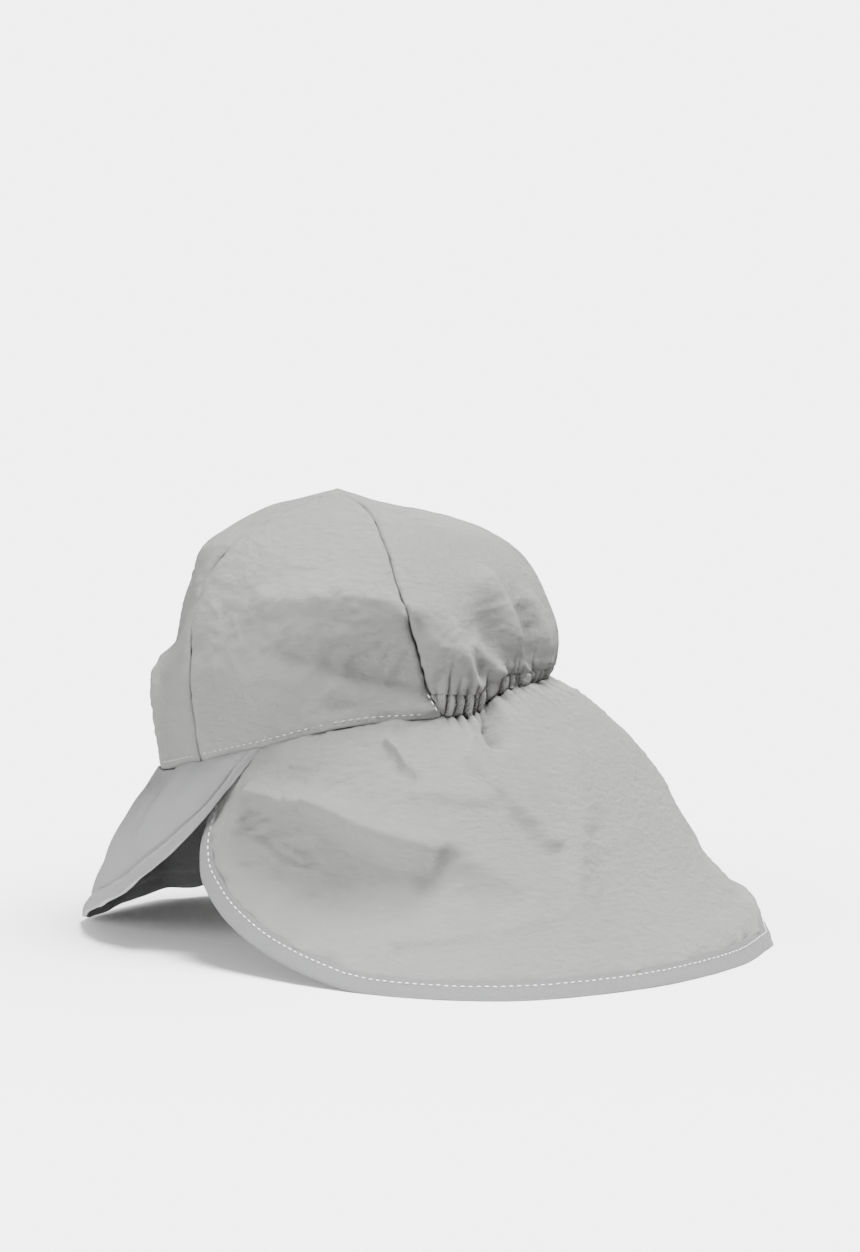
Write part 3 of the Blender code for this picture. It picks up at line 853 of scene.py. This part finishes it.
# Share of the crumples on the back panels, which the elastic holds full, on the band and on the
# flap, and the least of it that is left at the flap's hem
BACK_CALM = 0.5
BAND_CALM = 0.3
FLAP_RATE = 1.2
HEM_CALM = 0.35

# Lines beside an edge in metres, sunk where their height is below zero
SEAM_GROOVE = Line(0.0, 0.0008, -0.0015)
HEM_GROOVE = Line(0.0, 0.0008, -0.0003)
BAND_GROOVE = Line(0.0, 0.0010, -0.0008)
PEAK_GROOVE = Line(0.0088, 0.0009, -0.0013)
FLAP_GROOVE = Line(0.0, 0.0014, -0.0008)
SEAM_WELT = Line(0.004, 0.003, 0.0007)
HEM_WELT = Line(0.0045, 0.0025, 0.0008)
RIM_WELT = Line(0.0045, 0.0030, 0.0009)

# Noise: the distance between its bumps, their height in metres, and its seed
Ripple = namedtuple("Ripple", "size height seed")
PEAK_WAVES = (Ripple(0.034, 0.0026, 41), Ripple(0.012, 0.0008, 42))
PEAK_RIBS = Ripple(0.011, 0.0013, 44)
PEAK_GRAIN = Ripple(0.005, 0.00012, 43)
FLAP_TOP = Ripple(0.007, 0.0007, 53)
FLAP_HEM_PUCKER = Ripple(0.0055, 0.0013, 54)
TAPE_WAVES = (Ripple(0.008, 0.00035, 61), Ripple(0.0035, 0.00021, 62))

# Distances in metres over which puckers and draw lines fade away from their seam
TOP_FADE = 0.006
HEM_FADE = 0.007
DRAW_FADE = 0.012
DRAW_DEPTH = 0.0016

# Width in metres below which a panel's seams, its crumples and the flap's crumples fade out
SEAM_ROOM = 0.02
CRUMPLE_ROOM = 0.03
HEM_ROOM = 0.012


def ripple(points, shape):
    return shape.height * noise_at(points, shape.size, shape.seed)


# Distance between the puckers along a panel's edges, and between the nicks of its seams
PUCKER_SIZE = 0.009
NICK_SIZE = 0.006


def panel_surface(side, first, second, start, seed):
    place = panel_place(side, first, second, start)

    def relief(across, along, points):
        turn, share, width = panel_turn(across, along, first, second, start)
        from_first = across * width
        from_second = (1.0 - across) * width
        from_hem = (share - start) * CROWN_ARC
        pucker = 0.5 + 0.5 * noise_at(points, PUCKER_SIZE, seed + 11)
        ragged = 0.55 + 1.2 * np.abs(noise_at(points, NICK_SIZE, seed + 12))
        edge = ragged * (line(from_first, SEAM_GROOVE) + line(from_second, SEAM_GROOVE))
        edge = edge + pucker * (line(from_first, SEAM_WELT) + line(from_second, SEAM_WELT))
        hem = line(from_hem, HEM_GROOVE) + pucker * line(from_hem, HEM_WELT)
        fade = unit(width / SEAM_ROOM)
        calm = unit(width / CRUMPLE_ROOM) * np.where(turn > BACK_SEAM, BACK_CALM, 1.0)
        return fade * edge + hem + calm * crumples(points, seed)

    return Surface(place, relief, float(side))


def band_surface():
    def relief(across, up, points):
        return line(up * BAND_HEIGHT, BAND_GROOVE) + BAND_CALM * crumples(points, 31)

    return Surface(band_place, relief)


def peak_width(around):
    return size_of(peak_rim(around) - peak_root(around))


# Metres round and out over which the noise of the peak's ribs is laid, so that they run outwards
RIB_SPAN = (0.11, 0.020)


def peak_surface():
    def relief(across, out, points):
        around = 2.0 * across - 1.0
        width = peak_width(around)
        from_rim = (1.0 - out) * width
        shaped = line(from_rim, PEAK_GROOVE) + line(from_rim, RIM_WELT)
        shaped = shaped + sum(ripple(points, wave) for wave in PEAK_WAVES)
        ribs = np.stack([RIB_SPAN[0] * around, RIB_SPAN[1] * out, np.zeros_like(out)], axis=-1)
        shaped = shaped + ripple(ribs, PEAK_RIBS)
        ease = unit(width / SEAM_ROOM)
        return ease * shaped + np.abs(ripple(points, PEAK_GRAIN))

    return Surface(peak_place, relief, -1.0)


# How far the flap's cloth reaches into the fold of its binding
HEM_INTO_TAPE = 0.0012


def flap_shares(across, down):
    around = 1.0 - 2.0 * across
    return around, down * share_above_hem(around, BINDING_WIDTH - HEM_INTO_TAPE)


def flap_surface():
    def place(across, down):
        return flap_place(*flap_shares(across, down))

    def relief(across, down, points):
        around, share = flap_shares(across, down)
        from_seam = share * flap_length(around)
        from_hem = (1.0 - share) * flap_length(around) - BINDING_WIDTH
        turn = flap_root(around)[0]
        draw = DRAW_DEPTH * drawn_in(turn) * np.cos(gather_phase(turn))
        draw = draw * np.exp(-from_seam / DRAW_FADE)
        puckers = ripple(points, FLAP_TOP) * np.exp(-from_seam / TOP_FADE)
        hem = ripple(points, FLAP_HEM_PUCKER) * np.exp(-np.abs(from_hem) / HEM_FADE)
        calm = FLAP_RATE * np.clip(from_hem / HEM_ROOM, HEM_CALM, 1.0)
        return line(from_seam, FLAP_GROOVE) + draw + puckers + hem + calm * crumples(points, 57)

    return Surface(place, relief, -1.0)


# Where the binding is bunched under the peak, as a share of its half
BUNCH = Line(0.09, 0.035, 1.0)

# Section of the binding: how square its two edges and its two faces are
TAPE_EDGES = 0.5
TAPE_FACES = 0.6

# Steps round and down the flap over which the binding's normal is taken
TAPE_STEPS = (0.004, 0.02)

# Lines along the binding's face, from -1 (free edge) to 1 (sewn edge): its groove and its tucks
TAPE_GROOVE = Line(1.0 - 2 * 0.0016 / BINDING_WIDTH, 0.16, -0.0007)
TAPE_TUCKS = (Line(0.35, 0.14, -0.0013), Line(-0.3, 0.14, -0.0013))


def binding_surface():
    """The folded tape round the flap's free edge as a closed section."""

    def section(across, ring):
        around = 1.0 - 2.0 * across
        start = share_above_hem(around, BINDING_WIDTH)
        angle = 2 * np.pi * ring
        rounded = np.sign(np.cos(angle)) * np.abs(np.cos(angle)) ** TAPE_EDGES
        thick = np.sign(np.sin(angle)) * np.abs(np.sin(angle)) ** TAPE_FACES
        down = 0.5 * (1 + start) - 0.5 * (1 - start) * rounded
        middle = flap_place(around, down)
        turn_step, down_step = TAPE_STEPS
        dv = flap_place(around, np.minimum(down + down_step, 1.0))
        dv = dv - flap_place(around, down - down_step)
        du = flap_place(np.clip(around + turn_step, -1, 1), down)
        du = du - flap_place(np.clip(around - turn_step, -1, 1), down)
        normal = np.cross(du, dv)
        normal = normal / size_of(normal)[..., None]
        bunched = line(1.0 - np.abs(around), BUNCH)
        relief = sum(ripple(middle, wave) for wave in TAPE_WAVES) + line(rounded, TAPE_GROOVE)
        relief = relief + bunched * sum(line(rounded, tuck) for tuck in TAPE_TUCKS)
        height = thick * BINDING_CLOTH / 2 + np.where(thick > 0, relief, 0.0)
        point = middle + height[..., None] * normal
        point[..., 2] -= HEM_PRESS * (1 - rounded) / 2
        point[..., 2] = np.maximum(point[..., 2], 0.0)
        return point

    return Surface(section, lambda across, ring, points: np.zeros(len(points)))


# Materials


class Value:
    """A shader socket that takes part in Python arithmetic, adding a Math node for each step."""

    def __init__(self, shading, socket):
        self.shading = shading
        self.socket = socket

    def step(self, operation, first, second=0.0):
        return self.shading.node("ShaderNodeMath", {"operation": operation}, {0: first, 1: second})

    def __add__(self, other):
        return self.step("ADD", self, other)

    def __mul__(self, other):
        return self.step("MULTIPLY", self, other)

    def sine(self):
        return self.step("SINE", self)


class Shading:
    """One material and the nodes that feed its shader."""

    def __init__(self, name):
        self.material = bpy.data.materials.new(name)
        self.material.use_nodes = True
        self.tree = self.material.node_tree
        self.shader = self.tree.nodes["Principled BSDF"]

    def node(self, kind, choices=None, sockets=None, output=0):
        made = self.tree.nodes.new(kind)
        for key, value in (choices or {}).items():
            setattr(made, key, value)
        for key, value in (sockets or {}).items():
            self.feed(made.inputs[key], value)
        return Value(self, made.outputs[output])

    def feed(self, socket, value):
        if isinstance(value, Value):
            self.tree.links.new(value.socket, socket)
        else:
            socket.default_value = value

    def set(self, **sockets):
        for key, value in sockets.items():
            self.feed(self.shader.inputs[key.replace("_", " ")], value)


def rgba(colour, share=1.0):
    return (*(min(1.0, channel * share) for channel in colour), 1.0)


def mixed(made, share, first, second):
    """Colour between two others."""
    sockets = {0: share, 6: first, 7: second}
    return made.node("ShaderNodeMix", {"data_type": "RGBA"}, sockets, output=2)


def noise_texture(made, place, scale, **sockets):
    return made.node("ShaderNodeTexNoise", None, {"Vector": place, "Scale": scale, **sockets})


def bump(made, height, distance, strength):
    sockets = {"Strength": strength, "Distance": distance, "Height": height}
    return made.node("ShaderNodeBump", None, sockets)


def nylon_material(name, colour, depth, weave):
    """Crinkled matt nylon: plain weave, fine crinkles and a slightly uneven dye."""
    cloth = settings().cloth
    made = Shading(name)
    place = made.node("ShaderNodeTexCoord", output=3)
    cut = made.node("ShaderNodeTexCoord", output=2)
    cloud = noise_texture(made, place, 28.0, Detail=4.0)
    speck = noise_texture(made, place, 900.0, Detail=2.0)
    dye = mixed(made, cloud * 0.5 + speck * 0.5, rgba(colour, 0.93), rgba(colour, 1.06))
    split = made.node("ShaderNodeSeparateXYZ", sockets={0: cut})
    across = Value(made, split.socket.node.outputs[0])
    along = Value(made, split.socket.node.outputs[1])
    turns = 2 * math.pi / cloth.thread
    threads = (across * turns).sine() * (along * turns).sine()
    streaks = made.node(
        "ShaderNodeVectorMath", {"operation": "MULTIPLY"}, {0: place, 1: (0.85, 0.85, 1.6)}
    )
    crinkle = made.node(
        "ShaderNodeTexNoise",
        {"noise_type": "RIDGED_MULTIFRACTAL"},
        {"Vector": streaks, "Scale": 120.0, "Detail": 3.0, "Roughness": 0.6, "Lacunarity": 2.1},
    )
    grain = noise_texture(made, streaks, 330.0, Detail=3.0)
    height = crinkle * 0.30 + grain * 0.65 + threads * weave
    made.set(
        Base_Color=dye,
        Roughness=cloth.roughness,
        Normal=bump(made, height, depth, 0.9),
        Sheen_Weight=0.18,
        Sheen_Roughness=0.45,
        Specular_IOR_Level=0.3,
    )
    return made.material


def thread_material(name, colour):
    """Twisted sewing thread."""
    made = Shading(name)
    place = made.node("ShaderNodeTexCoord", output=3)
    twist = noise_texture(made, place, 2500.0)
    tone = mixed(made, twist, rgba(colour, 0.9), rgba(colour))
    made.set(Base_Color=tone, Roughness=0.55, Normal=bump(made, twist, 0.0001, 0.4))
    return made.material


# Each slot's material, colour setting, share of the crinkle's depth and strength of its weave
Nylon = namedtuple("Nylon", "name colour crinkle weave")
NYLONS = {
    "crown_nylon": Nylon("Crown nylon", "nylon", 1.0, 0.10),
    "peak_nylon": Nylon("Peak nylon", "peak", 0.5, 0.15),
    "binding_tape": Nylon("Binding tape", "binding", 1.0, 0.20),
}

# Each thread's material and its colour setting
HEM_THREAD = ("Hem thread", "colour")
SEAM_THREAD = ("Seam thread", "muted")


def cloth_material(slot):
    """The cloth of a slot, made the first time it is asked for."""
    name, colour, crinkle, weave = NYLONS[slot]
    cloth = settings().cloth
    if name in bpy.data.materials:
        return bpy.data.materials[name]
    return nylon_material(name, getattr(cloth, colour), cloth.crinkle * crinkle, weave)


def sewing_thread(thread):
    """The material of a thread, made the first time it is asked for."""
    name, colour = thread
    if name in bpy.data.materials:
        return bpy.data.materials[name]
    return thread_material(name, getattr(settings().stitch, colour))


# Stitches


# Rows of stitches: the share of the edge that each covers, the points along it, and how far in
# from the edge it lies, in metres
StitchRow = namedtuple("StitchRow", "first last points inset")
HEM_ROW = StitchRow(0.01, 0.99, 1400, 0.0022)
PEAK_ROW = StitchRow(0.03, 0.97, 900, PEAK_GROOVE.place)
CROWN_ROW = StitchRow(0.03, 0.97, 300, 0.0028)

# The short rows at the band's two ends: points along each, and its place across the side panel
TACK_POINTS = 60
TACK_ACROSS = 0.985

# Thickness of a stitch as a share of its width
STITCH_FLAT = 0.8


def stitch_row(sewing, points, normals):
    """Lays small thread beads along a path, each following the surface below it."""
    stitch = settings().stitch
    steps = np.linalg.norm(np.diff(points, axis=0), axis=1)
    reach = np.concatenate([[0.0], np.cumsum(steps)])

    def along(values, at):
        return np.array([np.interp(at, reach, values[:, k]) for k in range(3)])

    for middle in (np.arange(int(reach[-1] / stitch.spacing)) + 0.5) * stitch.spacing:
        ahead = along(points, middle + stitch.length / 2)
        way = Vector(ahead - along(points, middle - stitch.length / 2)).normalized()
        side = way.cross(Vector(along(normals, middle))).normalized()
        thick = stitch.thread
        sides = (way * stitch.length, side * thick, side.cross(way) * thick * STITCH_FLAT)
        turn = Matrix(sides).transposed().to_4x4()
        turn.translation = Vector(along(points, middle))
        bmesh.ops.create_uvsphere(sewing, u_segments=6, v_segments=4, radius=0.5, matrix=turn)


def sew(name, thread, rows):
    """One piece of topstitching from rows, each a surface and shares across and along it."""
    sewing = bmesh.new()
    for surface, across, along in rows:
        points = surface.at(across, along)
        normals = surface.normal(across, along)
        facing = ((points - np.array([0.0, CROWN_Y, SEAM_HEIGHT / 2])) * normals).sum(axis=-1)
        stitch_row(sewing, points, normals * np.sign(facing)[..., None])
    piece = smooth_piece(name, sewing)
    piece.data.materials.append(sewing_thread(thread))
    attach(piece, "root")


# The crown's panels on each side: their two seams, the share up the crown where they start, and the
# columns of their grids
Panel = namedtuple("Panel", "name first second start columns")
PANELS = (
    Panel("crown_front", "centre_front", "front", 0.0, 80),
    Panel("crown_side", "front", "back", 0.0, 116),
    Panel("crown_back", "back", "centre_back", BAND_SHARE, 130),
)
PANEL_ROWS = 170
FIRST_SEED = 101

# Thickness of the cloth that is shown, which stays inside its solid's
THIN_CLOTH = 0.0008
THIN_PEAK = 0.0018

# How far the peak's rim is rounded off
RIM_BEVEL = 0.0006

# Width and height in metres of each piece's cut cloth, for the weave
PANEL_CUT = (0.09, CROWN_ARC)
BAND_CUT = (0.12, BAND_HEIGHT)
PEAK_CUT = (0.22, 0.07)
FLAP_CUT = (0.55, 0.13)
TAPE_CUT = (0.74, 0.02)

# Columns and rows of the other grids, the rows of the binding going round its section
BAND_GRID = (420, 16)
PEAK_GRID = (200, 64)
FLAP_GRID = (400, 116)
TAPE_GRID = (520, 20)


class CAP_OT_crown(bpy.types.Operator):
    """Build the six crown panels"""

    bl_idname = "cap.crown"
    bl_label = "Crown panels"

    def execute(self, context):
        seed = FIRST_SEED
        for name, first, second, start, columns in PANELS:
            for ending, side in (("_left", 1), ("_right", -1)):
                surface = panel_surface(side, first, second, start, seed)
                node = name + ending
                piece = cloth_mesh(node + "_cloth", surface, columns, PANEL_ROWS, *PANEL_CUT)
                thicken(piece, THIN_CLOTH)
                dress(piece, node, "crown_nylon")
                seed += 20
        return {"FINISHED"}


class CAP_OT_band(bpy.types.Operator):
    """Build the gathered casing at the back"""

    bl_idname = "cap.band"
    bl_label = "Back band"

    def execute(self, context):
        piece = cloth_mesh("back_band_cloth", band_surface(), *BAND_GRID, *BAND_CUT)
        thicken(piece, THIN_CLOTH)
        dress(piece, "back_band", "crown_nylon")
        return {"FINISHED"}


class CAP_OT_peak(bpy.types.Operator):
    """Build the peak"""

    bl_idname = "cap.peak"
    bl_label = "Peak"

    def execute(self, context):
        piece = cloth_mesh("peak_cloth", peak_surface(), *PEAK_GRID, *PEAK_CUT)
        thicken(piece, THIN_PEAK)
        edge = piece.modifiers.new("Turned rim", "BEVEL")
        edge.width = RIM_BEVEL
        edge.segments = 2
        edge.limit_method = "ANGLE"
        edge.angle_limit = math.radians(60.0)
        dress(piece, "peak", "peak_nylon")
        return {"FINISHED"}


class CAP_OT_flap(bpy.types.Operator):
    """Build the neck flap"""

    bl_idname = "cap.flap"
    bl_label = "Neck flap"

    def execute(self, context):
        piece = cloth_mesh("neck_flap_cloth", flap_surface(), *FLAP_GRID, *FLAP_CUT)
        for vertex in piece.data.vertices:
            vertex.co.z = max(vertex.co.z, CLOTH)
        thicken(piece, THIN_CLOTH)
        dress(piece, "neck_flap", "crown_nylon")
        return {"FINISHED"}


class CAP_OT_binding(bpy.types.Operator):
    """Build the binding round the flap's free edge"""

    bl_idname = "cap.binding"
    bl_label = "Binding"

    def execute(self, context):
        grid = share_grid(*TAPE_GRID, binding_surface().place, *TAPE_CUT)
        bmesh.ops.remove_doubles(grid, verts=grid.verts, dist=1e-5)
        bmesh.ops.holes_fill(grid, edges=grid.edges, sides=TAPE_GRID[1])
        bmesh.ops.recalc_face_normals(grid, faces=grid.faces)
        dress(smooth_piece("flap_binding_cloth", grid), "flap_binding", "binding_tape")
        return {"FINISHED"}


class CAP_OT_stitches(bpy.types.Operator):
    """Sew the rows of topstitching"""

    bl_idname = "cap.stitches"
    bl_label = "Topstitching"

    def execute(self, context):
        across = np.linspace(*HEM_ROW[:3])
        share = 1.0 - 2 * HEM_ROW.inset / BINDING_WIDTH
        ring = np.full_like(across, np.arccos(share**2) / (2 * np.pi))
        rows = [(binding_surface(), across, ring)]
        sew("binding_stitches", HEM_THREAD, rows)

        across = np.linspace(*PEAK_ROW[:3])
        inset = PEAK_ROW.inset / peak_width(2.0 * across - 1.0)
        out = 1.0 - np.clip(inset, 0.0, MOST_INSET)
        sew("peak_stitches", SEAM_THREAD, [(peak_surface(), across, out)])

        across = np.linspace(*CROWN_ROW[:3])
        along = np.full_like(across, CROWN_ROW.inset / CROWN_ARC)
        rows = [
            (panel_surface(side, panel.first, panel.second, 0.0, FIRST_SEED), across, along)
            for panel in PANELS[:2]
            for side in (1, -1)
        ]
        sew("crown_stitches", SEAM_THREAD, rows)

        along = np.linspace(0.0, BAND_SHARE, TACK_POINTS)
        across = np.full_like(along, TACK_ACROSS)
        rows = [
            (panel_surface(side, "front", "back", 0.0, FIRST_SEED), across, along)
            for side in (1, -1)
        ]
        sew("bar_tacks", HEM_THREAD, rows)
        return {"FINISHED"}


# Lamps: name, power setting, place, the point it is aimed at and size in metres
Lamp = namedtuple("Lamp", "name power place aim size")
LAMPS = (
    Lamp("Key", "key", (0.06, 0.30, 1.20), (0.0, 0.0, 0.08), 0.6),
    Lamp("Fill", "fill", (0.95, -1.05, 0.28), (0.0, 0.0, 0.08), 0.8),
    Lamp("Bounce", "bounce", (0.60, -0.07, 0.05), (-0.02, -0.12, 0.04), 0.2),
)

# The camera's lens and sensor width in millimetres, and the point that it looks at
LENS = 81.43
SENSOR = 36.0
LOOK_AT = (0.0, 0.033 + CROWN_Y, 0.131)

# Radius of the floor, and the distances from the cap between which it fades into the backdrop
FLOOR_RADIUS = 6.0
FLOOR_FADE = (0.13, 0.34)


class CAP_OT_stage(bpy.types.Operator):
    """Set up the floor, lights and camera"""

    bl_idname = "cap.stage"
    bl_label = "Stage"

    def execute(self, context):
        stage = settings().stage
        self.floor(stage)
        self.lights(stage)
        self.camera(stage)
        return {"FINISHED"}

    def floor(self, stage):
        grid = bmesh.new()
        bmesh.ops.create_circle(grid, cap_ends=True, radius=FLOOR_RADIUS, segments=96)
        made = smooth_piece("Floor", grid)
        paint = Shading("Floor paint")
        place = paint.node("ShaderNodeTexCoord", output=3)
        grain = noise_texture(paint, place, 60.0)
        tone = mixed(paint, grain, rgba(stage.floor, 0.995), rgba(stage.floor, 1.005))
        away = paint.node("ShaderNodeVectorMath", {"operation": "LENGTH"}, {0: place}, output=1)
        paint.set(Base_Color=tone, Roughness=0.9, Specular_IOR_Level=0.1)
        fade = paint.node(
            "ShaderNodeMapRange",
            {"interpolation_type": "SMOOTHSTEP"},
            {"Value": away, "From Min": FLOOR_FADE[0], "From Max": FLOOR_FADE[1]},
        )
        clear = paint.node("ShaderNodeBsdfTransparent")
        shader = Value(paint, paint.shader.outputs[0])
        faded = paint.node("ShaderNodeMixShader", sockets={0: fade, 1: shader, 2: clear})
        output = paint.tree.nodes["Material Output"]
        paint.tree.links.new(faded.socket, output.inputs["Surface"])
        made.data.materials.append(paint.material)

    def lights(self, stage):
        world = bpy.data.worlds.new("Surround")
        bpy.context.scene.world = world
        world.use_nodes = True
        tree = world.node_tree
        even = tree.nodes["Background"]
        seen = tree.nodes.new("ShaderNodeBackground")
        for background, strength in ((even, stage.sky), (seen, stage.backdrop)):
            background.inputs["Color"].default_value = (1.0, 1.0, 1.0, 1.0)
            background.inputs["Strength"].default_value = strength
        path = tree.nodes.new("ShaderNodeLightPath")
        mix = tree.nodes.new("ShaderNodeMixShader")
        tree.links.new(path.outputs["Is Camera Ray"], mix.inputs[0])
        tree.links.new(even.outputs[0], mix.inputs[1])
        tree.links.new(seen.outputs[0], mix.inputs[2])
        tree.links.new(mix.outputs[0], tree.nodes["World Output"].inputs["Surface"])
        for lamp in LAMPS:
            light = bpy.data.lights.new(lamp.name, "AREA")
            light.energy = getattr(stage, lamp.power)
            light.size = lamp.size
            made = into_scene(light)
            made.location = lamp.place
            way = Vector(lamp.aim) - Vector(lamp.place)
            made.rotation_euler = way.to_track_quat("-Z", "Y").to_euler()

    def camera(self, stage):
        lens = bpy.data.cameras.new("Camera")
        lens.sensor_width = SENSOR
        lens.lens = LENS
        made = into_scene(lens)
        turn, rise = stage.azimuth, stage.elevation
        level = Vector((math.sin(turn), -math.cos(turn), 0.0)) * math.cos(rise)
        back = level + Vector((0.0, 0.0, math.sin(rise)))
        made.location = Vector(LOOK_AT) + stage.distance * back
        made.rotation_euler = (-back).to_track_quat("-Z", "Y").to_euler()
        bpy.context.scene.camera = made


OPERATORS = (
    CAP_OT_crown,
    CAP_OT_band,
    CAP_OT_peak,
    CAP_OT_flap,
    CAP_OT_binding,
    CAP_OT_stitches,
    CAP_OT_stage,
)


class CAP_PT_panel(bpy.types.Panel):
    """Lists the cap's settings and steps"""

    bl_idname = "CAP_PT_panel"
    bl_label = "Legionnaire cap"
    bl_space_type = "VIEW_3D"
    bl_region_type = "UI"
    bl_category = "Cap"

    def draw(self, context):
        layout = self.layout
        for group in ("cloth", "crumple", "stitch", "stage"):
            box = layout.box()
            box.label(text=group.capitalize())
            part = getattr(context.scene.legionnaire_cap, group)
            for key in type(part).__annotations__:
                box.prop(part, key)
        for operator in OPERATORS:
            layout.operator(operator.bl_idname)


CLASSES = (CapCloth, CapCrumple, CapStitch, CapStage, CapSettings, *OPERATORS, CAP_PT_panel)


def register():
    for made in CLASSES:
        bpy.utils.register_class(made)
    bpy.types.Scene.legionnaire_cap = PointerProperty(type=CapSettings)


def unregister():
    del bpy.types.Scene.legionnaire_cap
    for made in reversed(CLASSES):
        bpy.utils.unregister_class(made)


def main():
    register()
    bpy.ops.cap.crown()
    bpy.ops.cap.band()
    bpy.ops.cap.peak()
    bpy.ops.cap.flap()
    bpy.ops.cap.binding()
    bpy.ops.cap.stitches()
    bpy.ops.cap.stage()


if __name__ == "__main__":
    main()
